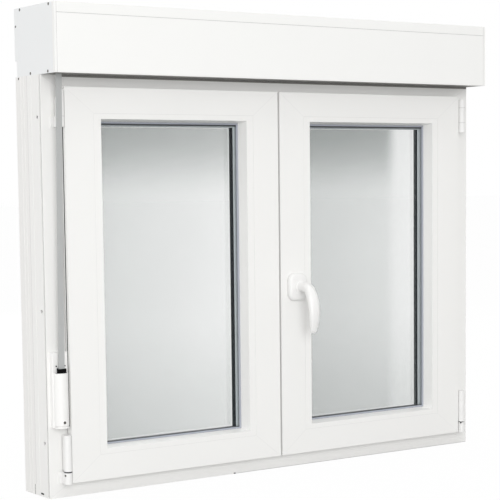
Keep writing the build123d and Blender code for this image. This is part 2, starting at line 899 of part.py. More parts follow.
# Stay arm: a knuckle, a plate behind the flap, a riser in the rebate and a blade over the leaf.
stay_y = frame_front + stay_place
stay_z1 = head_rebate - stay_head_gap
stay_z0 = stay_z1 - stay_thickness
stay_plate_y1 = frame_front - 0.75
stay_plate_y0 = stay_plate_y1 - stay_plate_thickness
stay_riser_x1 = jamb_inner - 3.0
stay_riser_x0 = stay_riser_x1 - stay_thickness
stay_riser_y1 = frame_front + 6.0
knuckle_gap = 0.3
knuckle_z0 = upper_right_low_joint + knuckle_gap
knuckle_z1 = upper_right_high_joint - knuckle_gap
stay_tip_x = hinge_x - stay_length
with BuildPart() as stay_arm:
    round_z(hinge_x, hinge_y, knuckle_z0, knuckle_z1, barrel_radius)
    block(hinge_x - 7.5, hinge_x + 2.5, hinge_y, stay_plate_y1, knuckle_z0, knuckle_z1)
    block(stay_riser_x0, hinge_x, stay_plate_y0, stay_plate_y1, knuckle_z0, knuckle_z1)
    block(stay_riser_x0, stay_riser_x1, stay_plate_y0, stay_riser_y1, knuckle_z0, stay_z1)
    with BuildSketch(Plane.XY.offset(stay_z0)):
        with BuildLine():
            Polyline(
                (stay_riser_x1, stay_plate_y1),
                (stay_riser_x1, stay_riser_y1),
                (stay_riser_x0 - 22, stay_y + stay_width / 2),
                (stay_tip_x - stay_width / 2, stay_y + stay_width / 2),
                (stay_tip_x - stay_width / 2, stay_y - stay_width / 2),
                (stay_riser_x0 - 26, stay_y - stay_width / 2),
                (stay_riser_x0, stay_plate_y1),
                close=True,
            )
        make_face()
    extrude(amount=stay_thickness)
    round_z(stay_tip_x, stay_y, stay_z0 - stay_pin_length, stay_z0, stay_pin_radius)
    round_z(hinge_x, hinge_y, knuckle_z0, knuckle_z1, hinge_pin_radius + bore_clearance, Mode.SUBTRACT)
save(stay_arm, "stay_arm")

with BuildPart() as stay_track:
    half = stay_track_slot / 2
    for sign in (-1, 1):
        y_pair = sorted((stay_y + sign * half, stay_y + sign * (half + stay_track_wall)))
        block(
            stay_tip_x - stay_track_length / 2,
            stay_tip_x + stay_track_length / 2,
            y_pair[0],
            y_pair[1],
            leaf_body_top,
            leaf_body_top + stay_track_height,
        )
save(stay_track, "stay_track")

# Handle: rosette, lever with its spindle, gearbox and the two drive rods.
rosette_z = (rosette_bottom + rosette_top) / 2
rosette_height = rosette_top - rosette_bottom
rosette_front = leaf_front - rosette_depth
with BuildPart() as handle_rosette:
    with BuildSketch(Plane.XZ.offset(-leaf_front)):
        with Locations((rosette_centre_x, rosette_z)):
            RectangleRounded(rosette_width, rosette_height, rosette_corner)
    extrude(amount=rosette_depth)
    fillet(handle_rosette.faces().sort_by(Axis.Y)[0].edges(), 3.0)
    seat_back = rosette_front + neck_seat
    round_y(handle_x, handle_z, rosette_front, seat_back, neck_radius + bore_clearance, Mode.SUBTRACT)
    round_y(handle_x, handle_z, rosette_front, leaf_front, spindle_radius + bore_clearance, Mode.SUBTRACT)
save(handle_rosette, "handle_rosette")

# Lever's sections: way out from the rosette, drop below the axis, width, thickness and lean in degrees.
lever_sections = (
    (neck_length, 0.0, 2 * neck_radius, 2 * neck_radius, 0.0),
    (neck_length + 14.0, 3.5, 22.0, 20.0, 30.0),
    (neck_length + 23.0, 15.0, 22.0, 17.0, 60.0),
    (neck_length + 30.0, 33.0, 22.5, 14.5, 74.0),
    (neck_length + 33.5, 55.0, 23.0, 13.5, 86.0),
    (neck_length + 32.5, 77.0, 21.0, 12.5, 97.0),
    (neck_length + 28.0, lever_length, 15.0, 8.0, 100.0),
)
with BuildPart() as handle_lever:
    for out, drop, width, thick, lean in lever_sections:
        turn = math.radians(lean)
        spot = (handle_x, rosette_front - out, handle_z - drop)
        plane = Plane(spot, x_dir=(1, 0, 0), z_dir=(0, -math.cos(turn), -math.sin(turn)))
        with BuildSketch(plane):
            RectangleRounded(width, thick, min(width, thick) * 0.42)
    loft()
    fillet(handle_lever.faces().sort_by(Axis.Z)[0].edges(), 2.0)
    round_y(handle_x, handle_z, rosette_front - neck_length, rosette_front + neck_seat - 0.3, neck_radius)
    round_y(handle_x, handle_z, rosette_front, rosette_front + spindle_length, spindle_radius)
save(handle_lever, "handle_lever")

with BuildPart() as gearbox:
    block(
        meeting_chamber + 0.2,
        meeting_chamber + 0.2 + gearbox_width,
        gearbox_front,
        gearbox_front + gearbox_depth,
        gearbox_z0,
        gearbox_z1,
    )
    round_y(
        handle_x,
        handle_z,
        gearbox_front,
        gearbox_front + gearbox_depth,
        spindle_radius + bore_clearance,
        Mode.SUBTRACT,
    )
save(gearbox, "gearbox")

rod_z0 = handle_z - drive_travel / 2 - stile_rod_length / 2
with BuildPart() as stile_rod:
    block(
        meeting_face + 0.2,
        meeting_face + rod_groove_depth - 0.2,
        rod_y0 + rod_clearance,
        rod_y1 - rod_clearance,
        rod_z0,
        rod_z0 + stile_rod_length,
    )
    for cam in (cam_low, cam_high):
        round_x(drive_y, cam, meeting_face - cam_length, meeting_face + 1, cam_radius)
save(stile_rod, "stile_rod")

with BuildPart() as top_rod:
    block(
        top_cam_x - top_rod_length / 3,
        top_cam_x + top_rod_length * 2 / 3,
        rod_y0 + rod_clearance,
        rod_y1 - rod_clearance,
        leaf_body_top - rod_groove_depth + 0.2,
        leaf_body_top - 0.2,
    )
    round_z(top_cam_x, drive_y, leaf_body_top - 1, leaf_body_top + cam_length, cam_radius)
save(top_rod, "top_rod")

# Keeps on the frame: one for the top cam and one for each edge bolt.
bolt_x = bolt_face - bolt_width / 2
keep_bolt_pocket = bolt_width + 3.0
with BuildPart() as frame_keeps:
    x0 = top_cam_x - drive_travel - (keep_pocket - drive_travel) / 2
    for a, b in ((x0, x0 + keep_pocket), (bolt_x - keep_bolt_pocket / 2, bolt_x + keep_bolt_pocket / 2)):
        block(a - keep_block, b + keep_block, keep_y0, keep_y1, head_rebate - keep_base, head_rebate)
        foot = head_rebate - keep_base - keep_block_height
        block(a - keep_block, a, keep_y0, keep_y1, foot, head_rebate)
        block(b, b + keep_block, keep_y0, keep_y1, foot, head_rebate)
    a = bolt_x - keep_bolt_pocket / 2
    b = bolt_x + keep_bolt_pocket / 2
    block(a - keep_block, b + keep_block, keep_y0, keep_y1, sill_width, sill_width + keep_base)
    crown = sill_width + keep_base + keep_block_height
    block(a - keep_block, a, keep_y0, keep_y1, sill_width, crown)
    block(b, b + keep_block, keep_y0, keep_y1, sill_width, crown)
save(frame_keeps, "frame_keeps")

# Shutter box: lid, top profile, back, bottom and end caps.
cap_inner = half_width - end_cap_thickness
lid_top = box_bottom_z + lid_height
belt_slot_centre = frame_front + belt_slot_y
with BuildPart() as box_lid:
    block(-half_width, half_width, box_front, lid_back, box_bottom_z, lid_top)
    chamfer(box_lid.edges().filter_by(Axis.X).group_by(Axis.Y)[0], 0.6)
save(box_lid, "box_lid")

with BuildPart() as box_top:
    block(-half_width, half_width, box_front, lid_back, lid_top, box_top_z)
    block(-cap_inner, cap_inner, lid_back, guide_back, box_top_z - box_panel, box_top_z)
    chamfer(box_top.edges().filter_by(Axis.X).group_by(Axis.Y)[0], 0.6)
    for sign in (-1, 1):
        for place in (lid_back + 15.4, guide_back - 27.2):
            x_pair = sorted((sign * (cap_inner - screw_length), sign * cap_inner))
            round_x(
                place,
                box_top_z - box_panel / 2,
                x_pair[0],
                x_pair[1],
                screw_radius + screw_clearance,
                Mode.SUBTRACT,
            )
save(box_top, "box_top")

back_start = box_bottom_z + back_step_height
with BuildPart() as box_back:
    block(-cap_inner, cap_inner, guide_back - box_panel, guide_back, back_start, box_top_z - box_panel)
save(box_back, "box_back")

with BuildPart() as box_bottom:
    block(-cap_inner, cap_inner, lid_back, guide_front, box_bottom_z, box_bottom_z + box_panel)
    reach = belt_width / 2 + belt_slot_clearance
    block(
        belt_x - reach,
        belt_x + reach,
        belt_slot_centre - 3,
        belt_slot_centre + 9,
        box_bottom_z,
        box_bottom_z + box_panel,
        Mode.SUBTRACT,
    )
    for sign in (-1, 1):
        for place in (lid_back + 24.2, guide_front - 18):
            x_pair = sorted((sign * (cap_inner - screw_length), sign * cap_inner))
            round_x(
                place,
                box_bottom_z + box_panel / 2,
                x_pair[0],
                x_pair[1],
                screw_radius + screw_clearance,
                Mode.SUBTRACT,
            )
save(box_bottom, "box_bottom")

screw_places = (
    (lid_back + 15.4, box_top_z - box_panel / 2),
    (guide_back - 27.2, box_top_z - box_panel / 2),
    (lid_back + 24.2, box_bottom_z + box_panel / 2),
    (guide_front - 18, box_bottom_z + box_panel / 2),
)


def end_cap(sign):
    with BuildSketch(Plane.YZ.offset(min(sign * half_width, sign * cap_inner))) as outline:
        with BuildLine():
            Polyline(
                (lid_back, box_bottom_z),
                (guide_back - box_panel, box_bottom_z),
                (guide_back - box_panel, back_start),
                (guide_back, back_start),
                (guide_back, box_top_z),
                (lid_back, box_top_z),
                close=True,
            )
        make_face()
    extrude(outline.sketch, amount=end_cap_thickness)
    for place, height in screw_places:
        x_pair = sorted((sign * cap_inner, sign * half_width))
        round_x(place, height, x_pair[0], x_pair[1], screw_radius + screw_clearance, Mode.SUBTRACT)
        x_pair = sorted((sign * (half_width - screw_head_depth), sign * half_width))
        round_x(place, height, x_pair[0], x_pair[1], screw_head_radius + screw_clearance, Mode.SUBTRACT)


with BuildPart() as box_end_left:
    end_cap(-1)
save(box_end_left, "box_end_left")

with BuildPart() as box_end_right:
    end_cap(1)
save(box_end_right, "box_end_right")

# Shutter roll: octagonal axle tube, bearings, belt pulley and the rolled slats.
slat_half = jamb_inner + guide_slot_depth - slat_end_gap
ring_radii = [roll_outer_radius - i * roll_pitch for i in range(len(roll_slat_counts))]
tube_radius = ring_radii[-1] - slat_thickness / 2 - axle_fit
pulley_inner = belt_x + belt_width / 2 + pulley_side_gap
pulley_outer = belt_x - belt_width / 2 - pulley_side_gap
stub_left = pulley_outer - pulley_flange
with BuildPart() as shutter_axle:
    with BuildSketch(Plane.YZ.offset(-slat_half)) as octagon:
        with Locations((roll_y, roll_z)):
            RegularPolygon(tube_radius, 8)
            RegularPolygon(tube_radius - axle_wall, 8, mode=Mode.SUBTRACT)
    extrude(octagon.sketch, amount=2 * slat_half)
    plug = 12.0
    for start in (-slat_half, slat_half - plug):
        with BuildSketch(Plane.YZ.offset(start)) as end_plug:
            with Locations((roll_y, roll_z)):
                RegularPolygon(tube_radius, 8)
        extrude(end_plug.sketch, amount=plug)
    round_x(roll_y, roll_z, -cap_inner + 1, -slat_half + plug, axle_stub_radius)
    round_x(roll_y, roll_z, slat_half - plug, cap_inner - 1, axle_stub_radius)
save(shutter_axle, "shutter_axle")

with BuildPart() as axle_bearings:
    for sign in (-1, 1):
        x_pair = sorted((sign * cap_inner, sign * (-stub_left + 0.5)))
        round_x(roll_y, roll_z, x_pair[0], x_pair[1], axle_stub_radius + 6)
        round_x(roll_y, roll_z, x_pair[0], x_pair[1], axle_stub_radius + bore_clearance, Mode.SUBTRACT)
save(axle_bearings, "axle_bearings")

with BuildPart() as belt_pulley:
    round_x(roll_y, roll_z, stub_left, pulley_inner + pulley_flange, pulley_radius)
    round_x(roll_y, roll_z, stub_left, pulley_outer, pulley_flange_radius)
    round_x(roll_y, roll_z, pulley_inner, pulley_inner + pulley_flange, pulley_flange_radius)
    round_x(roll_y, roll_z, stub_left, pulley_inner + pulley_flange, axle_stub_radius, Mode.SUBTRACT)
save(belt_pulley, "belt_pulley")


# One slat as a slice of a ring round the roll's axis, angles in degrees from +Y upwards.
def roll_point(radius, angle):
    turn = math.radians(angle)
    return (roll_y + radius * math.cos(turn), roll_z + radius * math.sin(turn))


def slat_outline(radius, half, start, end):
    middle = (start + end) / 2
    outer = [roll_point(radius + half, angle) for angle in (start, middle, end)]
    inner = [roll_point(radius - half, angle) for angle in (end, middle, start)]
    with BuildLine() as edge:
        ThreePointArc(*outer)
        Line(outer[2], inner[0])
        ThreePointArc(*inner)
        Line(inner[2], outer[0])
    return edge.line


def rolled_slat(radius, start, end):
    half = slat_thickness / 2
    rim = math.degrees(slat_wall / radius)
    with BuildSketch(Plane.YZ.offset(-slat_half)) as outline:
        make_face(slat_outline(radius, half, start, end).edges())
        make_face(slat_outline(radius, half - slat_wall, start + rim, end - rim).edges(), mode=Mode.SUBTRACT)
    extrude(outline.sketch, amount=2 * slat_half)


curtain_clear_angle = 50.0
with BuildPart() as rolled_slats:
    for ring_index, count in enumerate(roll_slat_counts):
        radius = ring_radii[ring_index]
        gap = math.degrees(slat_gap / radius)
        span = 360.0 - curtain_clear_angle if ring_index == 0 else 360.0
        first = 3.0 if ring_index == 0 else 20.0 * ring_index
        step = span / count
        for i in range(count):
            rolled_slat(radius, first + i * step + gap / 2, first + (i + 1) * step - gap / 2)
save(rolled_slats, "rolled_slats")

curtain_bottom = roll_z - curtain_length
with BuildPart() as curtain:
    block(
        -slat_half,
        slat_half,
        curtain_y - slat_thickness / 2,
        curtain_y + slat_thickness / 2,
        curtain_bottom,
        roll_z,
    )
save(curtain, "curtain")

with BuildPart() as bottom_slat:
    block(
        -slat_half,
        slat_half,
        curtain_y - slat_thickness / 2,
        curtain_y + slat_thickness / 2,
        curtain_bottom - bottom_slat_height,
        curtain_bottom,
    )
    block(
        -slat_half + 3,
        slat_half - 3,
        curtain_y - slat_thickness / 2 + slat_wall,
        curtain_y + slat_thickness / 2 - slat_wall,
        curtain_bottom - bottom_slat_height + slat_wall,
        curtain_bottom - slat_wall,
        Mode.SUBTRACT,
    )
save(bottom_slat, "bottom_slat")

# Belt: from the winder's spool up the wall side, over the guide roller and onto the pulley.
half_belt = belt_thickness / 2
spool_centre_y = frame_front + spool_y
belt_low_y = spool_centre_y - spool_coil_radius - belt_seat_gap - half_belt
belt_low = (belt_low_y, spool_z + 3)
belt_mouth = (belt_low_y, winder_cover_top + winder_mouth_height)
roller_corner = (belt_slot_centre, box_bottom_z + box_panel + roller_rise)
pulley_reach = pulley_radius + belt_seat_gap + half_belt
to_pulley = (roll_y - roller_corner[0], roll_z - roller_corner[1])
pulley_distance = math.hypot(*to_pulley)
tangent_angle = math.atan2(to_pulley[1], to_pulley[0]) + math.asin(pulley_reach / pulley_distance)
tangent_length = math.sqrt(pulley_distance**2 - pulley_reach**2)
belt_end = (
    roller_corner[0] + tangent_length * math.cos(tangent_angle),
    roller_corner[1] + tangent_length * math.sin(tangent_angle),
)
roller_bend = guide_roller_radius + belt_seat_gap + half_belt
with BuildPart() as belt:
    with BuildSketch(Plane.YZ.offset(belt_x - belt_width / 2)):
        with BuildLine() as route:
            FilletPolyline(belt_low, belt_mouth, roller_corner, belt_end, radius=[400.0, roller_bend])
        trace(route.line.edges(), line_width=belt_thickness)
    extrude(amount=belt_width)
save(belt, "belt")

# Guide roller under the box, on the inside of the belt's bend.
down = (belt_mouth[0] - roller_corner[0], belt_mouth[1] - roller_corner[1])
down_length = math.hypot(*down)
in_unit = (down[0] / down_length, down[1] / down_length)
out_unit = (math.cos(tangent_angle), math.sin(tangent_angle))
middle = (in_unit[0] + out_unit[0], in_unit[1] + out_unit[1])
middle_length = math.hypot(*middle)
half_turn = math.acos(in_unit[0] * out_unit[0] + in_unit[1] * out_unit[1]) / 2
roller_place = roller_bend / math.sin(half_turn)
roller_y = roller_corner[0] + middle[0] / middle_length * roller_place
roller_z = roller_corner[1] + middle[1] / middle_length * roller_place
roller_half = belt_width / 2 + belt_slot_clearance
with BuildPart() as belt_guide:
    round_x(roller_y, roller_z, -cap_inner, belt_x + roller_half, guide_roller_radius)
save(belt_guide, "belt_guide")

# Belt winder: plate with a mouth and two cheeks, half-round cover, spool, coil and spring.
winder_x0 = belt_x - winder_width / 2
winder_x1 = belt_x + winder_width / 2
plate_front = frame_front - winder_depth
cheek_inner = belt_width / 2 + spool_side_gap + spool_flange + spool_side_gap
belt_room = belt_width / 2 + belt_slot_clearance
with BuildPart() as winder_plate:
    block(winder_x0, winder_x1, plate_front, frame_front, winder_bottom, winder_top)
    chamfer(winder_plate.edges().filter_by(Axis.Z).group_by(Axis.Y)[0], 1.5)
    block(
        belt_x - cheek_outer,
        belt_x + cheek_outer,
        plate_front,
        frame_front,
        winder_opening_low + 2,
        winder_cover_top,
        Mode.SUBTRACT,
    )
    block(
        winder_x0 + winder_wall,
        winder_x1 - winder_wall,
        plate_front + winder_wall,
        frame_front,
        winder_cover_top + winder_wall,
        winder_top - winder_wall,
        Mode.SUBTRACT,
    )
    for sign in (-1, 1):
        x_pair = sorted((belt_x + sign * cheek_inner, belt_x + sign * cheek_outer))
        block(
            x_pair[0],
            x_pair[1],
            plate_front,
            spool_centre_y + spool_pin_radius + 5,
            spool_z - 20,
            winder_cover_top + winder_wall,
        )
    block(
        belt_x - belt_room,
        belt_x + belt_room,
        plate_front,
        frame_front,
        winder_cover_top - 1,
        winder_cover_top + winder_mouth_height,
        Mode.SUBTRACT,
    )
    round_x(spool_centre_y, spool_z, belt_x - cheek_inner, belt_x + cheek_inner, spool_pin_radius)
save(winder_plate, "winder_plate")

cover_x = belt_x
with BuildPart() as winder_cover:
    round_z(cover_x, plate_front, winder_bottom, winder_cover_top, winder_cover_radius)
    chamfer(winder_cover.edges().group_by(Axis.Z)[0], 5.0)
    round_z(
        cover_x,
        plate_front,
        winder_bottom + 22,
        winder_cover_top,
        winder_cover_radius - winder_cover_wall,
        Mode.SUBTRACT,
    )
    block(
        cover_x - 2 * winder_cover_radius,
        cover_x + 2 * winder_cover_radius,
        plate_front,
        plate_front + 2 * winder_cover_radius,
        winder_bottom,
        winder_cover_top,
        Mode.SUBTRACT,
    )
    round_y(
        cover_x,
        winder_bottom + 12,
        plate_front - winder_cover_radius,
        plate_front,
        screw_radius + screw_clearance,
        Mode.SUBTRACT,
    )
    round_y(
        cover_x,
        winder_bottom + 12,
        plate_front - winder_cover_radius,
        plate_front - winder_cover_radius + 2,
        screw_head_radius + screw_clearance,
        Mode.SUBTRACT,
    )
save(winder_cover, "winder_cover")

spool_x0 = belt_x - belt_width / 2 - spool_side_gap - spool_flange
spool_x1 = belt_x + belt_width / 2 + spool_side_gap + spool_flange
with BuildPart() as winder_spool:
    round_x(spool_centre_y, spool_z, spool_x0, spool_x1, spool_core_radius)
    round_x(spool_centre_y, spool_z, spool_x0, spool_x0 + spool_flange, spool_flange_radius)
    round_x(spool_centre_y, spool_z, spool_x1 - spool_flange, spool_x1, spool_flange_radius)
    round_x(
        spool_centre_y,
        spool_z,
        spool_x0 + spool_flange,
        spool_x1,
        spool_core_radius - spool_core_wall,
        Mode.SUBTRACT,
    )
    round_x(
        spool_centre_y,
        spool_z,
        spool_x0,
        spool_x1,
        spool_pin_radius + bore_clearance,
        Mode.SUBTRACT,
    )
save(winder_spool, "winder_spool")

with BuildPart() as belt_coil:
    round_x(spool_centre_y, spool_z, belt_x - belt_width / 2, belt_x + belt_width / 2, spool_coil_radius)
    round_x(
        spool_centre_y,
        spool_z,
        belt_x - belt_width / 2,
        belt_x + belt_width / 2,
        spool_core_radius + bore_clearance,
        Mode.SUBTRACT,
    )
save(belt_coil, "belt_coil")

with BuildPart() as winder_spring:
    round_x(spool_centre_y, spool_z, spool_x0 + spool_flange + 0.3, spool_x1 - 2, spring_outer_radius)
    round_x(
        spool_centre_y,
        spool_z,
        spool_x0 + spool_flange + 0.3,
        spool_x1 - 2,
        spring_inner_radius,
        Mode.SUBTRACT,
    )
save(winder_spring, "winder_spring")

# Small screws of the end caps and the belt winder, heads flush or just proud.
with BuildPart() as cover_screws:
    for sign in (-1, 1):
        for place, height in screw_places:
            x_pair = sorted((sign * (half_width - screw_head_depth), sign * half_width))
            round_x(place, height, x_pair[0], x_pair[1], screw_head_radius)
            x_pair = sorted((sign * (cap_inner - screw_length + 1), sign * half_width))
            round_x(place, height, x_pair[0], x_pair[1], screw_radius)
    head_y = plate_front - winder_cover_radius + 1
    round_y(cover_x, winder_bottom + 12, head_y, head_y + 1, screw_head_radius)
    round_y(cover_x, winder_bottom + 12, head_y, plate_front, screw_radius)
save(cover_screws, "cover_screws")
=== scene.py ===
import bmesh
import bpy
import json
import math
import numpy as np
from mathutils import Matrix, Vector


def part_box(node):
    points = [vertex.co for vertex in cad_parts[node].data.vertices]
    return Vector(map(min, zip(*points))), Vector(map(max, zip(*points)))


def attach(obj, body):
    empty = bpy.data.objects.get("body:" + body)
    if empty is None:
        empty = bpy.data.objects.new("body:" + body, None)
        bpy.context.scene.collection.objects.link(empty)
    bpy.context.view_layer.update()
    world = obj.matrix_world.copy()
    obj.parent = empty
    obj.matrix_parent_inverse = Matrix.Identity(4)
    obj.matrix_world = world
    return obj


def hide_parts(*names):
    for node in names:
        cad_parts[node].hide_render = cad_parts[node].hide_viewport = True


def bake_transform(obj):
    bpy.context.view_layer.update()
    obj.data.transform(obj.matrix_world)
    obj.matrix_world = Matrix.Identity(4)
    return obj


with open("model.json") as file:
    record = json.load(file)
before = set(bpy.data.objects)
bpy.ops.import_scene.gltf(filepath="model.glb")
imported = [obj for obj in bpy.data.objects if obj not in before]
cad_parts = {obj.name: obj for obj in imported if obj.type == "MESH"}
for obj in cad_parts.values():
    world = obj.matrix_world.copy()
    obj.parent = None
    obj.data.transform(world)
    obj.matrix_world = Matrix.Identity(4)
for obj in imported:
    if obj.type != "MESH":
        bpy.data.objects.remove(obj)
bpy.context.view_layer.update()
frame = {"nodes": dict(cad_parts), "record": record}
scene = bpy.context.scene
nodes_at = frame["nodes"]


# Mesh helpers
def place_mesh(name, points, faces, smooth=True):
    """A mesh object at the origin from an array of points and a list of faces."""
    mesh = bpy.data.meshes.new(name)
    mesh.from_pydata(np.asarray(points, float).tolist(), [], faces)
    mesh.update()
    mesh.polygons.foreach_set("use_smooth", [smooth] * len(mesh.polygons))
    piece = bpy.data.objects.new(name, mesh)
    scene.collection.objects.link(piece)
    return piece


def tube_faces(rows, cols):
    """Quads of a grid whose columns close on themselves, and one cap at each end."""
    i = np.arange(rows - 1)[:, None] * cols
    j = np.arange(cols)[None, :]
    k = (j + 1) % cols
    quads = np.stack([i + j, i + k, i + cols + k, i + cols + j], axis=-1).reshape(-1, 4).tolist()
    first_cap = list(range(cols))[::-1]
    last_cap = list(range((rows - 1) * cols, rows * cols))
    return quads + [first_cap, last_cap]


def loop_faces(rows, cols):
    """Quads of a grid that closes on itself both ways, rows of it side by side."""
    i = np.arange(rows)[:, None]
    j = np.arange(cols)[None, :]
    k = (j + 1) % cols
    near, far = i * cols, (i + 1) % rows * cols
    return np.stack([near + j, far + j, far + k, near + k], axis=-1).reshape(-1, 4).tolist()


def turned(name, centre, axis, profile, sides=48):
    """Surface of revolution: radius r and height h of each profile point, swept round an axis.
    Point = centre + h * axis + r * (cos t * u + sin t * v)."""
    axis = np.asarray(axis, float)
    u = np.array([0.0, 0.0, 1.0]) if abs(axis[2]) < 0.5 else np.array([1.0, 0.0, 0.0])
    v = np.cross(axis, u)
    t = np.linspace(0, 2 * math.pi, sides, endpoint=False)
    ring = np.cos(t)[:, None] * u + np.sin(t)[:, None] * v
    prof = np.asarray(profile, float)
    radius, height = prof[:, 0, None, None], prof[:, 1, None, None]
    points = np.asarray(centre) + height * axis + radius * ring[None]
    return place_mesh(name, points.reshape(-1, 3), tube_faces(len(prof), sides))


def rounded_ring(width, height, corner, count=12):
    """Points of a rounded rectangle, quarter circles joined by straight sides, anticlockwise."""
    t = np.linspace(0, math.pi / 2, count)
    parts = []
    for k, (sx, sz) in enumerate(((1, 1), (-1, 1), (-1, -1), (1, -1))):
        a = t + k * math.pi / 2
        x = sx * (width / 2 - corner) + corner * np.cos(a)
        z = sz * (height / 2 - corner) + corner * np.sin(a)
        parts.append(np.stack([x, z], axis=-1))
    return np.concatenate(parts)


def soft_plate(name, centre, width, height, corner, y_back, y_front, edge):
    """Rounded rectangle from y_back to y_front. Its front rim follows a quarter circle of radius
    edge, and its face rises by dome towards a last ring that is face_share of the way in."""
    dome, face_share = 0.0004, 0.35
    corner_share, least_corner = 0.8, 0.001
    t = np.linspace(0, math.pi / 2, 9)
    inset = np.concatenate([[0.0], edge * (1 - np.cos(t)), [min(width, height) * face_share]])
    depth = np.concatenate([[y_back], y_front + edge * (1 - np.sin(t)), [y_front - dome]])
    rows = []
    for a, y in zip(inset, depth):
        round_off = max(corner - a * corner_share, least_corner)
        ring = rounded_ring(width - 2 * a, height - 2 * a, round_off)
        level = np.full(len(ring), y)
        rows.append(np.stack([ring[:, 0] + centre[0], level, ring[:, 1] + centre[1]], axis=-1))
    points = np.concatenate(rows)
    faces = tube_faces(len(rows), len(rows[0]))
    return place_mesh(name, points, [f[::-1] for f in faces])


def smooth_table(table, steps):
    """Rows between the rows of a table, on a cubic through each four neighbours:
    half of (2b + (c - a)t + (2a - 5b + 4c - d)t^2 + (3b - a - 3c + d)t^3)."""
    rows = np.asarray(table, float)
    padded = np.concatenate([2 * rows[:1] - rows[1:2], rows, 2 * rows[-1:] - rows[-2:-1]])
    a, b, c, d = padded[:-3], padded[1:-2], padded[2:-1], padded[3:]
    t = np.linspace(0, 1, steps, endpoint=False)[None, :, None]
    a, b, c, d = (k[:, None, :] for k in (a, b, c, d))
    square, cube = 2 * a - 5 * b + 4 * c - d, 3 * b - a - 3 * c + d
    curve = (2 * b + (c - a) * t + square * t**2 + cube * t**3) / 2
    return np.concatenate([curve.reshape(-1, rows.shape[1]), rows[-1:]])


def ridges(name, lines, y, width, height):
    """Low round ridges on the plane y, facing the room. Each line is x0, z0, x1, z1;
    across it the height follows a half sine."""
    lines = np.asarray(lines, float)
    start, end = lines[:, :2], lines[:, 2:]
    along = end - start
    side = np.stack([-along[:, 1], along[:, 0]], axis=-1) / np.linalg.norm(along, axis=1)[:, None]
    t = np.linspace(0, 1, 7)
    across = (t - 0.5) * width
    lift = np.sin(t * math.pi) * height
    ends = np.stack([start, end], axis=1)
    flat = ends[:, :, None, :] + side[:, None, None, :] * across[None, None, :, None]
    depth = np.broadcast_to(y - lift, flat.shape[:3])
    points = np.stack([flat[..., 0], depth, flat[..., 1]], axis=-1)
    closing = points[:, :, ::-1][:, :, 1:-1] * [1, 0, 1] + [0, y, 0]
    points = np.concatenate([points, closing], axis=2)
    count = points.shape[2]
    faces = []
    for k in range(len(lines)):
        base = k * 2 * count
        faces += [[base + n for n in face] for face in tube_faces(2, count)]
    return place_mesh(name, points.reshape(-1, 3), faces, smooth=False)


def panel(name, corners_low, corners_high):
    """Thin flat inlays, each a closed box between two corners, all in one mesh."""
    low = np.asarray(corners_low, float)
    high = np.asarray(corners_high, float)
    pick = np.array([[(k >> axis) & 1 for axis in range(3)] for k in range(8)])
    points = low[:, None, :] + (high - low)[:, None, :] * pick[None]
    sides = [[0, 2, 3, 1], [4, 5, 7, 6], [0, 1, 5, 4], [2, 6, 7, 3], [0, 4, 6, 2], [1, 3, 7, 5]]
    faces = [[8 * k + n for n in side] for k in range(len(low)) for side in sides]
    return place_mesh(name, points.reshape(-1, 3), faces, smooth=False)


def rect_tube(name, rects, depths):
    """Closed ring that runs round a rectangle. Each profile point has its own rectangle
    x0, x1, z0, z1 and its own depth y; the profile closes on itself."""
    rects = np.asarray(rects, float)
    x0, x1, z0, z1 = rects.T
    corners = np.stack([np.stack([x0, x1, x1, x0]), np.stack([z0, z0, z1, z1])], axis=-1)
    depth = np.broadcast_to(np.asarray(depths, float), corners.shape[:2])
    points = np.stack([corners[..., 0], depth, corners[..., 1]], axis=-1)
    return place_mesh(name, points.reshape(-1, 3), loop_faces(4, len(rects)), smooth=False)


def turn_out(piece):
    """Makes the faces of a closed mesh point outwards."""
    shape = bmesh.new()
    shape.from_mesh(piece.data)
    bmesh.ops.recalc_face_normals(shape, faces=shape.faces)
    shape.to_mesh(piece.data)
    shape.free()
    return piece


# Materials: usual grain scale and depth, bump in metres, dust, the spread of gloss, and how the
# dust's colour follows the skin's
GRAIN, GRAIN_DEPTH, GRAIN_BUMP, DUST = 900.0, 0.3, 0.0001, 0.25
GLOSS_BELOW, GLOSS_ABOVE = 0.05, 0.06
DUST_SHARE, DUST_LIFT = 0.86, 0.02


def new_group(name, inputs, outputs):
    """A shader group with float inputs that have a start value, and outputs."""
    group = bpy.data.node_groups.new(name, "ShaderNodeTree")
    for label, kind, value in inputs:
        socket = group.interface.new_socket(label, in_out="INPUT", socket_type=kind)
        socket.default_value = value
    for label, kind in outputs:
        group.interface.new_socket(label, in_out="OUTPUT", socket_type=kind)
    return group, group.nodes.new("NodeGroupInput"), group.nodes.new("NodeGroupOutput")


def math_node(tree, operation, a, b=None, c=None):
    """Output of a Math node. Each of a, b and c is a number or a socket."""
    node = tree.nodes.new("ShaderNodeMath")
    node.operation = operation
    for index, value in enumerate((a, b, c)):
        if value is None:
            continue
        if isinstance(value, (int, float)):
            node.inputs[index].default_value = value
        else:
            tree.links.new(value, node.inputs[index])
    return node.outputs[0]


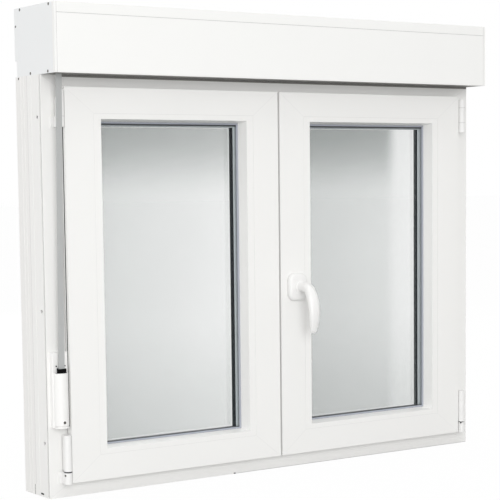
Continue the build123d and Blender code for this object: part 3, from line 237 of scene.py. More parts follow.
def make_moulded_grain():
    """Fine moulded skin: a small noise for height, and a broad slow noise for shade."""
    fine_detail, broad_scale, broad_detail = 3.0, 3.2, 4.0
    group, put_in, put_out = new_group(
        "moulded_grain",
        [("Grain Size", "NodeSocketFloat", GRAIN), ("Depth", "NodeSocketFloat", GRAIN_DEPTH)],
        [("Height", "NodeSocketFloat"), ("Shade", "NodeSocketFloat")],
    )
    place = group.nodes.new("ShaderNodeTexCoord")
    fine = group.nodes.new("ShaderNodeTexNoise")
    fine.inputs["Detail"].default_value = fine_detail
    group.links.new(place.outputs["Object"], fine.inputs["Vector"])
    group.links.new(put_in.outputs["Grain Size"], fine.inputs["Scale"])
    broad = group.nodes.new("ShaderNodeTexNoise")
    broad.inputs["Scale"].default_value = broad_scale
    broad.inputs["Detail"].default_value = broad_detail
    group.links.new(place.outputs["Object"], broad.inputs["Vector"])
    height = math_node(group, "MULTIPLY", fine.outputs["Fac"], put_in.outputs["Depth"])
    group.links.new(height, put_out.inputs["Height"])
    group.links.new(broad.outputs["Fac"], put_out.inputs["Shade"])
    return group


def make_settled_dust():
    """Dust mask: broken noise on faces that look up, more where the noise is high."""
    speck_scale, speck_detail = 38.0, 6.0
    group, put_in, put_out = new_group(
        "settled_dust", [("Amount", "NodeSocketFloat", DUST)], [("Mask", "NodeSocketFloat")]
    )
    place = group.nodes.new("ShaderNodeTexCoord")
    noise = group.nodes.new("ShaderNodeTexNoise")
    noise.inputs["Scale"].default_value = speck_scale
    noise.inputs["Detail"].default_value = speck_detail
    group.links.new(place.outputs["Object"], noise.inputs["Vector"])
    face = group.nodes.new("ShaderNodeNewGeometry")
    split = group.nodes.new("ShaderNodeSeparateXYZ")
    group.links.new(face.outputs["True Normal"], split.inputs[0])
    up = math_node(group, "MAXIMUM", split.outputs["Z"], 0.0)
    mask = math_node(group, "MULTIPLY", up, noise.outputs["Fac"])
    mask = math_node(group, "MULTIPLY", mask, put_in.outputs["Amount"])
    group.links.new(mask, put_out.inputs["Mask"])
    return group


grain_group = make_moulded_grain()
dust_group = make_settled_dust()


def add_group(tree, group, **values):
    """A use of a shader group, with its inputs set by name."""
    node = tree.nodes.new("ShaderNodeGroup")
    node.node_tree = group
    for label, value in values.items():
        node.inputs[label.replace("_", " ")].default_value = value
    return node


def mix_colour(tree, factor, low, high):
    """Output of a colour mix. Each end is a colour of three numbers or a socket."""
    node = tree.nodes.new("ShaderNodeMix")
    node.data_type = "RGBA"
    tree.links.new(factor, node.inputs[0])
    for index, value in ((6, low), (7, high)):
        if isinstance(value, tuple):
            node.inputs[index].default_value = (*value, 1.0)
        else:
            tree.links.new(value, node.inputs[index])
    return node.outputs[2]


def map_range(tree, value, low, high):
    """Carries 0 to 1 over to low to high."""
    node = tree.nodes.new("ShaderNodeMapRange")
    tree.links.new(value, node.inputs["Value"])
    node.inputs["To Min"].default_value = low
    node.inputs["To Max"].default_value = high
    return node.outputs["Result"]


def smooth_step(tree, value, start, end):
    """Rises smoothly from 0 at start to 1 at end."""
    node = tree.nodes.new("ShaderNodeMapRange")
    node.interpolation_type = "SMOOTHSTEP"
    tree.links.new(value, node.inputs["Value"])
    node.inputs["From Min"].default_value = start
    node.inputs["From Max"].default_value = end
    return node.outputs["Result"]


def new_material(name):
    """A material with its node tree and its main shader."""
    material = bpy.data.materials.new(name)
    material.use_nodes = True
    tree = material.node_tree
    return material, tree, tree.nodes["Principled BSDF"]


def add_relief(tree, shader, height, distance):
    """Bumps the shader's normal by a height that stands for a distance in metres."""
    relief = tree.nodes.new("ShaderNodeBump")
    relief.inputs["Distance"].default_value = distance
    tree.links.new(height, relief.inputs["Height"])
    tree.links.new(relief.outputs["Normal"], shader.inputs["Normal"])


def object_places(tree):
    """Sockets of a point's place in its object: all of it, and its X, Y and Z apart."""
    place = tree.nodes.new("ShaderNodeTexCoord").outputs["Object"]
    split = tree.nodes.new("ShaderNodeSeparateXYZ")
    tree.links.new(place, split.inputs[0])
    return place, split.outputs


def finish_material(name, light, dark, rough, grain=GRAIN, depth=GRAIN_DEPTH, dust=DUST, **sockets):
    """A skin of two close colours over broad noise, with a fine grain, varied gloss and dust on
    top. The sockets are more inputs of the main shader, by name."""
    material, tree, shader = new_material(name)
    skin = add_group(tree, grain_group, Grain_Size=grain, Depth=depth)
    settled = add_group(tree, dust_group, Amount=dust)
    shade = skin.outputs["Shade"]
    dusty = tuple(DUST_SHARE * c + DUST_LIFT for c in dark)
    colour = mix_colour(tree, settled.outputs["Mask"], mix_colour(tree, shade, light, dark), dusty)
    gloss = map_range(tree, shade, rough - GLOSS_BELOW, rough + GLOSS_ABOVE)
    tree.links.new(colour, shader.inputs["Base Color"])
    tree.links.new(gloss, shader.inputs["Roughness"])
    add_relief(tree, shader, skin.outputs["Height"], GRAIN_BUMP)
    for label, value in sockets.items():
        shader.inputs[label.replace("_", " ")].default_value = value
    return material


white_profile = finish_material("white_profile", (0.885, 0.883, 0.872), (0.862, 0.86, 0.848), 0.34)
box_skin = finish_material("box_skin", (0.892, 0.893, 0.882), (0.872, 0.873, 0.862), 0.4)
end_cap_skin = finish_material("end_cap_skin", (0.865, 0.878, 0.885), (0.845, 0.858, 0.868), 0.45)
white_enamel = finish_material(
    "white_enamel", (0.855, 0.853, 0.846), (0.835, 0.833, 0.826), 0.36, grain=500.0, depth=0.15
)
guide_skin = finish_material("guide_skin", (0.868, 0.862, 0.85), (0.84, 0.834, 0.822), 0.38)
# Black rubber for the seals; the same near black also serves as painted shade in gaps, holes and
# along the glass edge
rubber_and_painted_shade = finish_material(
    "rubber_and_painted_shade", (0.035, 0.038, 0.042), (0.055, 0.058, 0.062), 0.62, grain=1400.0
)
joint_shade = finish_material("joint_shade", (0.5, 0.5, 0.495), (0.58, 0.58, 0.575), 0.6)
# Weld seams: real low ridges, with a grey colour that is painted shade of the seam
weld_shade_skin = finish_material("weld_shade_skin", (0.8, 0.8, 0.795), (0.83, 0.83, 0.825), 0.5)
# Near black painted shade, put in gaps, slots and openings
painted_recess_shade = finish_material(
    "painted_recess_shade",
    (0.004, 0.004, 0.0045),
    (0.008, 0.008, 0.008),
    0.9,
    dust=0.0,
    Specular_IOR_Level=0.05,
)
lip_rubber = finish_material(
    "lip_rubber", (0.36, 0.385, 0.445), (0.42, 0.445, 0.5), 0.5, grain=1400.0
)
# Grey painted shade for the gap between leaf and bead
bead_joint_shade = finish_material("bead_joint_shade", (0.62, 0.62, 0.615), (0.68, 0.68, 0.675), 0.5)
# Dark strip of painted shadow on the frame under the box
foot_painted_shadow = finish_material(
    "foot_painted_shadow", (0.2, 0.195, 0.185), (0.26, 0.255, 0.245), 0.7, grain=1400.0
)
# Painted shade: the white panel under the box is coloured dark grey for the shade beneath the box
box_underside_painted_shade = finish_material("box_underside_painted_shade", (0.15, 0.146, 0.139), (0.2, 0.195, 0.185), 0.55)
# Screw heads: steel, darkened with painted shade of their holes
screw_steel_and_hole_shade = finish_material(
    "screw_steel_and_hole_shade", (0.13, 0.12, 0.11), (0.07, 0.066, 0.062), 0.42, grain=700.0, Metallic=0.5
)
plated_steel = finish_material(
    "plated_steel", (0.62, 0.63, 0.65), (0.48, 0.49, 0.51), 0.34, grain=260.0, Metallic=1.0
)
blued_spring = finish_material(
    "blued_spring", (0.16, 0.17, 0.2), (0.24, 0.25, 0.28), 0.35, grain=300.0, Metallic=1.0
)
slat_skin = finish_material(
    "slat_skin", (0.78, 0.785, 0.775), (0.72, 0.725, 0.715), 0.5, grain=600.0
)
brush_fibre = finish_material(
    "brush_fibre", (0.16, 0.165, 0.17), (0.26, 0.265, 0.27), 0.85, grain=2400.0, depth=1.0
)


def woven_belt():
    """Belt cloth: crossed waves of warp and weft on object places."""
    warp_scale, weft_scale, unevenness, thread_height = 420.0, 300.0, 0.6, 0.0003
    thread_low, thread_high = (0.47, 0.48, 0.48), (0.6, 0.61, 0.61)
    rough_low, rough_high = 0.75, 0.9
    material, tree, shader = new_material("woven_belt")
    place = object_places(tree)[0]
    waves = []
    for direction, size in (("X", warp_scale), ("Z", weft_scale)):
        wave = tree.nodes.new("ShaderNodeTexWave")
        wave.bands_direction = direction
        wave.inputs["Scale"].default_value = size
        wave.inputs["Distortion"].default_value = unevenness
        tree.links.new(place, wave.inputs["Vector"])
        waves.append(wave.outputs["Fac"])
    weave = math_node(tree, "MULTIPLY", waves[0], waves[1])
    colour = mix_colour(tree, weave, thread_low, thread_high)
    tree.links.new(colour, shader.inputs["Base Color"])
    tree.links.new(map_range(tree, weave, rough_low, rough_high), shader.inputs["Roughness"])
    add_relief(tree, shader, weave, thread_height)
    return material


# Spacer bar and glass. Depths and heights are in metres, SPACER_FRONT is the bar's front face
SPACER_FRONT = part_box("left_spacer")[0][1]
SPACER_EDGE_ENDS, SPACER_SIDE_STARTS = 0.0006, 0.0014
SPACER_EDGE_TONE, SPACER_SIDE_SHADE = (0.52, 0.57, 0.59), (0.012, 0.014, 0.018)
FULL_SPECULAR = 0.5


def spacer_finish():
    """Spacer bar: a blue-grey front edge, and sides in near black painted shade with dulled gloss,
    parted by depth, finely grained.
    """
    grain_share, side_specular_loss, metallic = 0.25, -0.42, 0.2
    rough_low, rough_high = 0.35, 0.5
    material, tree, shader = new_material("spacer_metal")
    depth = object_places(tree)[1]["Y"]
    edge_ends, side_starts = SPACER_FRONT + SPACER_EDGE_ENDS, SPACER_FRONT + SPACER_SIDE_STARTS
    rear = smooth_step(tree, depth, edge_ends, side_starts)
    grain = add_group(tree, grain_group, Grain_Size=GRAIN, Depth=GRAIN_DEPTH).outputs["Shade"]
    shade = math_node(tree, "MULTIPLY_ADD", grain, grain_share, rear)
    specular = math_node(tree, "MULTIPLY_ADD", rear, side_specular_loss, FULL_SPECULAR)
    colour = mix_colour(tree, shade, SPACER_EDGE_TONE, SPACER_SIDE_SHADE)
    tree.links.new(colour, shader.inputs["Base Color"])
    tree.links.new(map_range(tree, grain, rough_low, rough_high), shader.inputs["Roughness"])
    tree.links.new(specular, shader.inputs["Specular IOR Level"])
    shader.inputs["Metallic"].default_value = metallic
    return material


# The left glass's left edge and width, the step from it to the right glass, and a depth between
# the front pane and the rear one
PANE_LEFT, PANE_WIDTH, PANE_STEP = -0.461, 0.365, 0.5575
BETWEEN_PANES = SPACER_FRONT + 0.004
# Where each part of the painted shade, highlight and reflection starts and where it is full, across
# the pane from 0 to 1 or in height
RIGHT_PAINTED_HIGHLIGHT = 0.68, 0.8
TOP_PAINTED_SHADE = 0.63, 0.8
FOOT_PAINTED_SHADE = 0.42, 0.04
GHOST_REFLECTION = 0.928, 0.931
CLEAR_SIDE = 0.938, 0.942
CLEAR_TOP = 0.7958, 0.7985
CLEAR_FOOT = 0.1126, 0.1108
# How strong each part is
SLOPE_PAINTED_SHADE, CLOUD_SHARE, GHOST_REFLECTION_SHARE, FULL_FOOT = 0.2, 0.08, 0.12, 0.19
FULL_TOP, RIGHT_TOP_LOSS = 0.45, -0.42
RIGHT_DIM, RIGHT_DIM_SLOPE = 0.07, 0.05
CLEAR_FOOT_SHARE, CLEAR_SHARE = 0.4, 0.98
# How far the clear side moves: outwards in the rear pane, inwards in the right one
REAR_SHIFT, RIGHT_SHIFT = -0.022, 0.004
PAINTED_TONE_LIGHT, PAINTED_TONE_DARK = (0.46, 0.5, 0.49), (0.27, 0.3, 0.29)
THIN_COVER, THICK_COVER, CLEAR_COVER_LOSS = 0.05, 0.5, 0.035
CLEAR_SPECULAR_LOSS, PANE_IOR = -0.38, 1.38
CLOUD_SCALE, CLOUD_DEPTH, PANE_ROUGH = 2.0, 0.2, (0.03, 0.07)


def pane_glass():
    """Pane whose colour and cover carry painted shade and painted reflections, and clear where the
    spacer bar is seen through it.
    painted_shade = (slope (1 - u) + dim + top + foot + ghost + cloud) (1 - clear), with u from 0 to
    1 across the pane. slope is painted shade that fades from the left side to the right, top and
    foot are painted shadow that rises towards the pane's top and foot, ghost is a faint painted
    reflection of the spacer bar in a band beside it, cloud is a broad noise, and dim is a little
    more painted shade over the right pane. Past RIGHT_PAINTED_HIGHLIGHT the right pane has no dim
    and little of its top, a painted highlight. clear is a strip on the right, one at the top and a
    weaker one at the foot. The strip on the right starts further right in the rear pane, which is
    seen through the front one at a slant."""
    material, tree, shader = new_material("pane_glass")
    place = object_places(tree)[1]

    def node(operation, *values):
        return math_node(tree, operation, *values)

    right_pane = node("GREATER_THAN", place["X"], 0.0)
    shifted = node("SUBTRACT", place["X"], node("MULTIPLY", right_pane, PANE_STEP))
    across = node("DIVIDE", node("SUBTRACT", shifted, PANE_LEFT), PANE_WIDTH)

    behind = node("GREATER_THAN", place["Y"], BETWEEN_PANES)
    reach = node("MULTIPLY_ADD", right_pane, RIGHT_SHIFT, across)
    reach = node("MULTIPLY_ADD", behind, REAR_SHIFT, reach)
    clear = smooth_step(tree, reach, *CLEAR_SIDE)
    clear = node("MAXIMUM", clear, smooth_step(tree, place["Z"], *CLEAR_TOP))
    low_clear = node("MULTIPLY", smooth_step(tree, place["Z"], *CLEAR_FOOT), CLEAR_FOOT_SHARE)
    clear = node("MULTIPLY", node("MAXIMUM", clear, low_clear), CLEAR_SHARE)

    slope = node("MULTIPLY", node("SUBTRACT", 1.0, across), SLOPE_PAINTED_SHADE)
    highlight = node("MULTIPLY", right_pane, smooth_step(tree, across, *RIGHT_PAINTED_HIGHLIGHT))
    dim = node("MULTIPLY_ADD", across, RIGHT_DIM_SLOPE, RIGHT_DIM)
    dim = node("MULTIPLY", node("SUBTRACT", right_pane, highlight), dim)
    top = node("MULTIPLY_ADD", highlight, RIGHT_TOP_LOSS, FULL_TOP)
    top = node("MULTIPLY", smooth_step(tree, place["Z"], *TOP_PAINTED_SHADE), top)
    foot = node("MULTIPLY", smooth_step(tree, place["Z"], *FOOT_PAINTED_SHADE), FULL_FOOT)
    ghost = node("MULTIPLY", smooth_step(tree, across, *GHOST_REFLECTION), GHOST_REFLECTION_SHARE)
    cloud = add_group(tree, grain_group, Grain_Size=CLOUD_SCALE, Depth=CLOUD_DEPTH)
    noise = cloud.outputs["Shade"]
    painted_shade = node("MULTIPLY", noise, CLOUD_SHARE)
    for part in (slope, dim, top, foot, ghost):
        painted_shade = node("ADD", painted_shade, part)
    painted_shade = node("MULTIPLY", painted_shade, node("SUBTRACT", 1.0, clear))

    colour = mix_colour(tree, painted_shade, PAINTED_TONE_LIGHT, PAINTED_TONE_DARK)
    cover = map_range(tree, painted_shade, THIN_COVER, THICK_COVER)
    cover = node("SUBTRACT", cover, node("MULTIPLY", clear, CLEAR_COVER_LOSS))
    specular = node("MULTIPLY_ADD", clear, CLEAR_SPECULAR_LOSS, FULL_SPECULAR)
    tree.links.new(colour, shader.inputs["Base Color"])
    tree.links.new(map_range(tree, noise, *PANE_ROUGH), shader.inputs["Roughness"])
    tree.links.new(cover, shader.inputs["Alpha"])
    tree.links.new(specular, shader.inputs["Specular IOR Level"])
    shader.inputs["IOR"].default_value = PANE_IOR
    return material


belt_cloth = woven_belt()
glass = pane_glass()
spacer_metal = spacer_finish()
by_slot = {
    "white_pvc": white_profile,
    "white_metal": white_enamel,
    "black_rubber": rubber_and_painted_shade,
    "clear_glass": glass,
    "spacer_bar": spacer_metal,
    "zinc_steel": plated_steel,
    "belt_cloth": belt_cloth,
    "brush_pile": brush_fibre,
    "slat_skin": slat_skin,
    "spring_steel": blued_spring,
}
by_node = {
    "box_lid": box_skin,
    "box_top": box_skin,
    "box_back": box_skin,
    "box_end_left": end_cap_skin,
    "box_end_right": end_cap_skin,
    "guide_left": guide_skin,
    "guide_right": guide_skin,
    "cover_screws": screw_steel_and_hole_shade,
    "box_bottom": box_underside_painted_shade,
}
slot_of = {entry["node"]: entry["material_slot"] for entry in frame["record"]["subparts"]}
for name, piece in nodes_at.items():
    skin = by_node.get(name, by_slot[slot_of[name]])
    piece.data.materials.clear()
    piece.data.materials.append(skin)


def dress(piece, material, body):
    """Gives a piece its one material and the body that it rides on."""
    piece.data.materials.clear()
    piece.data.materials.append(material)
    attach(piece, body)


# Leaf and frame lines, in metres
LEAF_BOTTOM, LEAF_TOP = 0.0325, 0.8795
LEAF_NEAR, LEAF_FAR = 0.0025, 0.555
LEAF_FACE, FRAME_FACE = -0.052, -0.031
FRAME_HALF, FRAME_TOP = 0.6, 0.905
# Where the weld lines end, across and up from a corner of a leaf and of the frame
LEAF_WELD_END = 0.068, 0.054
FRAME_WELD_END = 0.046, 0.029
WELD_START = 0.002, 0.0016
WELD_WIDTH, LEAF_WELD_HEIGHT, FRAME_WELD_HEIGHT = 0.001, 0.00013, 0.00012
# The glass shows from here on, across and up from a leaf's corner
GLASS_IN = 0.09402, 0.07168
# Profile of the rubber lip round the glass: step inwards from the glass line, and depth
LIP_PROFILE = (
    (-0.0004, -0.0257),
    (0.0012, -0.0265),
    (0.0028, -0.0261),
    (0.0037, -0.0249),
    (0.0038, -0.0232),
    (-0.0004, -0.0232),
)
# Dark lines of painted shade along the glass edge under the lip: how far in they start, their
# depths, and from where to where they run inwards from the glass line at the top and at the foot
PANE_SHADE_IN, PANE_SHADE_FRONT, PANE_SHADE_BACK = 0.0030, -0.0237, -0.0231
PANE_SHADE_TOP, PANE_SHADE_FOOT = (0.0070, 0.0030), (0.0030, 0.0054)
# Grey painted shade in the gap between leaf and bead: insets across and up for each corner of its
# section
FILL_NEAR, FILL_FAR = (0.0689, 0.0549), (0.0695, 0.0555)
FILL_FRONT, FILL_BACK = -0.0516, -0.0506
# Dark line of painted shadow on a leaf's hinge side, in the gap by the frame: how far it lies in
# and stands out, its depths and heights
EDGE_IN, EDGE_OUT = 0.0004, 0.0003
EDGE_FRONT, EDGE_BACK, EDGE_FOOT, EDGE_TOP = -0.0434, -0.0398, 0.155, 0.795
# Spacer bar: how far it shows inside the glass line at each side, at the foot and at the top, how
# far its rear leans in, its rounded edge, and its hidden outer rim across and up from the corner
BAR_SHOWS = {"left": 0.0092, "right": 0.0122}
BAR_SHOWS_FOOT, BAR_SHOWS_TOP = 0.0045, 0.0098
BAR_LEAN, BAR_EDGE = 0.0038, 0.0008
BAR_RIM = 0.0765, 0.0625


def corner_lines(x0, x1, z0, z1, end):
    """One line at each corner of a rectangle, from just inside its tip to the end."""
    lines = []
    for x, sx in ((x0, 1), (x1, -1)):
        for z, sz in ((z0, 1), (z1, -1)):
            start = x + sx * WELD_START[0], z + sz * WELD_START[1]
            lines.append((*start, x + sx * end[0], z + sz * end[1]))
    return lines


def leaf_rect(x0, x1, across, foot, top):
    """Rectangle inside a leaf: across in from both sides, foot from below and top from above."""
    return x0 + across, x1 - across, LEAF_BOTTOM + foot, LEAF_TOP - top


def pane_lip(side, x0, x1):
    rects, depths = [], []
    for step, depth in LIP_PROFILE:
        across, up = GLASS_IN[0] + step, GLASS_IN[1] + step
        rects.append(leaf_rect(x0, x1, across, up, up))
        depths.append(depth)
    return rect_tube(side + "_pane_lip", rects, depths)


# Painted shade: dark lines along the top and foot of the glass
def edge_shade_lines(side, x0, x1):
    left, right = x0 + GLASS_IN[0] + PANE_SHADE_IN, x1 - GLASS_IN[0] - PANE_SHADE_IN
    top, foot = LEAF_TOP - GLASS_IN[1], LEAF_BOTTOM + GLASS_IN[1]
    return panel(
        side + "_pane_edge_shade_lines",
        [
            (left, PANE_SHADE_FRONT, top - PANE_SHADE_TOP[0]),
            (left, PANE_SHADE_FRONT, foot + PANE_SHADE_FOOT[0]),
        ],
        [
            (right, PANE_SHADE_BACK, top - PANE_SHADE_TOP[1]),
            (right, PANE_SHADE_BACK, foot + PANE_SHADE_FOOT[1]),
        ],
    )


# Painted shade: a grey strip in the gap between leaf and bead
def bead_gap_shade(side, x0, x1):
    insets = (FILL_NEAR, FILL_FAR, FILL_FAR, FILL_NEAR)
    rects = [leaf_rect(x0, x1, across, up, up) for across, up in insets]
    depths = (FILL_FRONT, FILL_FRONT, FILL_BACK, FILL_BACK)
    return rect_tube(side + "_bead_gap_shade", rects, depths)


# Painted shadow: a dark strip on the leaf's hinge-side edge
def leaf_edge_shadow_line(side, edge_x, out):
    inner, outer = edge_x - out * EDGE_IN, edge_x + out * EDGE_OUT
    return panel(
        side + "_leaf_edge_shadow_line",
        [(min(inner, outer), EDGE_FRONT, EDGE_FOOT)],
        [(max(inner, outer), EDGE_BACK, EDGE_TOP)],
    )


def spacer_bar(side, x0, x1):
    """The bar that shows between the panes. Its section starts at the hidden rim in front, rounds
    off at the inner edge, leans in towards the rear and goes back to the rim."""
    low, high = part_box(side + "_spacer")
    front, back = low[1], high[1]
    rim = leaf_rect(x0, x1, BAR_RIM[0], BAR_RIM[1], BAR_RIM[1])
    rects, depths = [rim], [front]
    for grow, lean, depth in (
        (-BAR_EDGE, 0.0, front),
        (0.0, 0.0, front + BAR_EDGE),
        (0.0, BAR_LEAN, back - BAR_EDGE),
        (-BAR_EDGE, BAR_LEAN, back),
    ):
        across = GLASS_IN[0] + BAR_SHOWS[side] + grow + lean
        foot, top = GLASS_IN[1] + BAR_SHOWS_FOOT + grow, GLASS_IN[1] + BAR_SHOWS_TOP + grow
        rects.append(leaf_rect(x0, x1, across, foot, top))
        depths.append(depth)
    return rect_tube(side + "_spacer_bar", rects + [rim], depths + [back])


for side, x0, x1 in (("left", -LEAF_FAR, -LEAF_NEAR), ("right", LEAF_NEAR, LEAF_FAR)):
    weld_lines = corner_lines(x0, x1, LEAF_BOTTOM, LEAF_TOP, LEAF_WELD_END)
    seams = ridges(side + "_leaf_welds", weld_lines, LEAF_FACE, WELD_WIDTH, LEAF_WELD_HEIGHT)
    dress(turn_out(seams), weld_shade_skin, side + "_leaf")
    dress(turn_out(pane_lip(side, x0, x1)), lip_rubber, side + "_leaf")
    dress(edge_shade_lines(side, x0, x1), rubber_and_painted_shade, side + "_leaf")
    dress(turn_out(bead_gap_shade(side, x0, x1)), bead_joint_shade, side + "_leaf")
    edge_x, out = (x0, -1) if side == "left" else (x1, 1)
    dress(leaf_edge_shadow_line(side, edge_x, out), rubber_and_painted_shade, side + "_leaf")
    bar = spacer_bar(side, x0, x1)
    dress(turn_out(bar), spacer_metal, side + "_leaf")
    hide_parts(side + "_spacer")

weld_lines = corner_lines(-FRAME_HALF, FRAME_HALF, 0.0, FRAME_TOP, FRAME_WELD_END)
frame_welds = ridges("frame_welds", weld_lines, FRAME_FACE, WELD_WIDTH, FRAME_WELD_HEIGHT)
dress(turn_out(frame_welds), weld_shade_skin, "window")


# Handle: rosette and curved lever
HANDLE_X, HANDLE_Z, ROSETTE_FRONT = 0.05, 0.428, -0.064
ROSETTE_X, ROSETTE_WIDTH, ROSETTE_HEIGHT = 0.047, 0.052, 0.064
ROSETTE_CORNER, ROSETTE_EDGE = 0.017, 0.0075
# Radius and height of the lever's collar
COLLAR_PROFILE = (
    (0.0146, -0.0004),
    (0.0148, 0.0016),
    (0.0142, 0.0026),
    (0.0128, 0.003),
    (0.0114, 0.0029),
)
LEVER_POWER = 2.5
# Way out from the rosette, drop, width and thickness of the lever's sections
LEVER_TABLE = (
    (-0.0055, 0.0, 0.0218, 0.0218),
    (0.008, 0.0, 0.0218, 0.0218),
    (0.020, 0.0002, 0.0222, 0.0221),
    (0.033, 0.0040, 0.0245, 0.0225),
    (0.042, 0.0155, 0.0262, 0.0205),
    (0.049, 0.0330, 0.0275, 0.0185),
    (0.0525, 0.0550, 0.0275, 0.0170),
    (0.0520, 0.0770, 0.0248, 0.0148),
    (0.0495, 0.0970, 0.0185, 0.0108),
    (0.0484, 0.1020, 0.0158, 0.0088),
    (0.0480, 0.1042, 0.0120, 0.0060),
    (0.0479, 0.1050, 0.0050, 0.0024),
)


def rounded_section(width, thick, power, count=32):
    """Super-ellipses of width w and thickness h, with the power p:
    x = w/2 sgn(cos t)|cos t|^(2/p), q = h/2 sgn(sin t)|sin t|^(2/p)."""
    t = np.linspace(0, 2 * math.pi, count, endpoint=False)
    c, n = np.cos(t), np.sin(t)
    x = width[:, None] / 2 * np.sign(c) * np.abs(c) ** (2 / power)
    q = thick[:, None] / 2 * np.sign(n) * np.abs(n) ** (2 / power)
    return x, q


def curved_lever(name, axis_x, axis_z, root_y, table, power):
    """Rounded sections carried along a line in the YZ plane. The table holds the way out, the drop,
    the width and the thickness; each section stands square to the line."""
    rows = smooth_table(table, 9)
    out, drop, width, thick = rows.T
    y, z = root_y - out, axis_z - drop
    step = np.stack([np.gradient(y), np.gradient(z)], axis=-1)
    step /= np.linalg.norm(step, axis=1)[:, None]
    x, q = rounded_section(width, thick, power)
    points = np.stack(
        [axis_x + x, y[:, None] - q * step[:, 1:2], z[:, None] + q * step[:, 0:1]],
        axis=-1,
    )
    return place_mesh(name, points.reshape(-1, 3), tube_faces(len(rows), x.shape[1]))


lever = curved_lever("lever_grip", HANDLE_X, HANDLE_Z, ROSETTE_FRONT, LEVER_TABLE, LEVER_POWER)
dress(turn_out(lever), white_enamel, "handle")
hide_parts("handle_lever")
rosette = soft_plate(
    "rosette_cover",
    (ROSETTE_X, HANDLE_Z),
    ROSETTE_WIDTH,
    ROSETTE_HEIGHT,
    ROSETTE_CORNER,
    LEAF_FACE,
    ROSETTE_FRONT,
    ROSETTE_EDGE,
)
dress(turn_out(rosette), white_enamel, "right_leaf")
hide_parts("handle_rosette")
collar_place = HANDLE_X, ROSETTE_FRONT, HANDLE_Z
collar = turned("rosette_collar", collar_place, (0.0, -1.0, 0.0), COLLAR_PROFILE)
dress(turn_out(collar), white_enamel, "right_leaf")


# Hinges: dark rings of painted shade in the knuckle joints, and a set screw in each lower knuckle
HINGE_X, HINGE_Y = 0.5655, -0.052
RING_INNER, RING_OUTER, RING_EDGE = 0.0070, 0.00868, 0.0002
DARKEST_SHADE_FROM = 0.0018
# Side of the hinge, foot and height of each ring
RINGS = (
    ("left_lower_ring", -1, 0.0570, 0.0024),
    ("right_lower_ring", 1, 0.0570, 0.0008),
    ("left_upper_ring", -1, 0.8168, 0.0009),
    ("right_upper_ring_low", 1, 0.8148, 0.0009),
    ("right_upper_ring_high", 1, 0.8518, 0.0009),
)
for name, sign, z, height in RINGS:
    ring_profile = (
        (RING_INNER, 0.0),
        (RING_OUTER - RING_EDGE, 0.0),
        (RING_OUTER, RING_EDGE),
        (RING_OUTER, height - RING_EDGE),
        (RING_OUTER - RING_EDGE, height),
        (RING_INNER, height),
    )
    ring = turned(name, (sign * HINGE_X, HINGE_Y, z), (0.0, 0.0, 1.0), ring_profile)
    # Taller rings take the near black painted shade, thinner ones the grey
    ring_skin = rubber_and_painted_shade if height > DARKEST_SHADE_FROM else joint_shade
    dress(turn_out(ring), ring_skin, "window")

# Dark mark of painted shade in the gap of the right lower hinge, across and in depth from the
# hinge's axis, and its heights
GAP_ACROSS, GAP_DEPTHS, GAP_HEIGHTS = (-0.0080, -0.0040), (-0.0070, -0.0042), (0.0552, 0.0577)
gap_shade = panel(
    "right_hinge_gap_shade",
    [(HINGE_X + GAP_ACROSS[0], HINGE_Y + GAP_DEPTHS[0], GAP_HEIGHTS[0])],
    [(HINGE_X + GAP_ACROSS[1], HINGE_Y + GAP_DEPTHS[1], GAP_HEIGHTS[1])],
)
dress(gap_shade, painted_recess_shade, "window")

# Heads of screws and rivets, dark steel that is also painted shade of the holes they sit in: radius
# and height of the profile, then the place and direction of each on the right; the left mirrors it
HEAD_PROFILE, HEAD_SIDES = ((0.0025, 0.0), (0.0025, 0.0004), (0.0021, 0.0007), (0.0005, 0.0006)), 16
SET_SCREW = (HINGE_X + 0.0080, HINGE_Y - 0.0023, 0.0515), (0.96, -0.28, 0.0)
CAP_EDGE_SCREW = (0.5998, 0.0779, 1.0122), (1.0, 0.0, 0.0)
GUIDE_RIVET = (0.5998, 0.0692, 0.9010), (1.0, 0.0, 0.0)
for ending, place, way in (
    ("_hinge_set_screw", *SET_SCREW),
    ("_cap_edge_screw", *CAP_EDGE_SCREW),
    ("_guide_rivet", *GUIDE_RIVET),
):
    for side, sign in (("left", -1), ("right", 1)):
        there, facing = (sign * place[0], *place[1:]), (sign * way[0], *way[1:])
        screw = turned(side + ending, there, facing, HEAD_PROFILE, HEAD_SIDES)
        dress(turn_out(screw), screw_steel_and_hole_shade, "window")

# Painted shade: dark discs on the floors of the fixing holes in the jambs
HOLE_FLOOR_X, HOLE_Y = 0.5966, -0.0125
HOLE_HEIGHTS = (("low", 0.119), ("middle", 0.404), ("high", 0.816))
HOLE_PROFILE, HOLE_SIDES = ((0.0039, 0.0), (0.0039, 0.0006), (0.0036, 0.0008), (0.0004, 0.0008)), 24
for side, sign in (("left", -1), ("right", 1)):
    for level, z in HOLE_HEIGHTS:
        shade_disc = turned(
            "_".join((side, level, "fixing_hole_shade")),
            (sign * HOLE_FLOOR_X, HOLE_Y, z),
            (sign, 0.0, 0.0),
            HOLE_PROFILE,
            HOLE_SIDES,
        )
        dress(turn_out(shade_disc), rubber_and_painted_shade, "window")

# Strips that close the gap between the right leaf and its hinges
TRIM_INNER, TRIM_OUTER, TRIM_FRONT, TRIM_BACK = 0.5549, 0.5565, -0.0505, -0.0400
TRIM_SPANS = ((0.0630, 0.1530), (0.7920, 0.8720))
hinge_trim = panel(
    "right_leaf_hinge_trim",
    [(TRIM_INNER, TRIM_FRONT, foot) for foot, top in TRIM_SPANS],
    [(TRIM_OUTER, TRIM_BACK, top) for foot, top in TRIM_SPANS],
)
dress(hinge_trim, white_profile, "right_leaf")

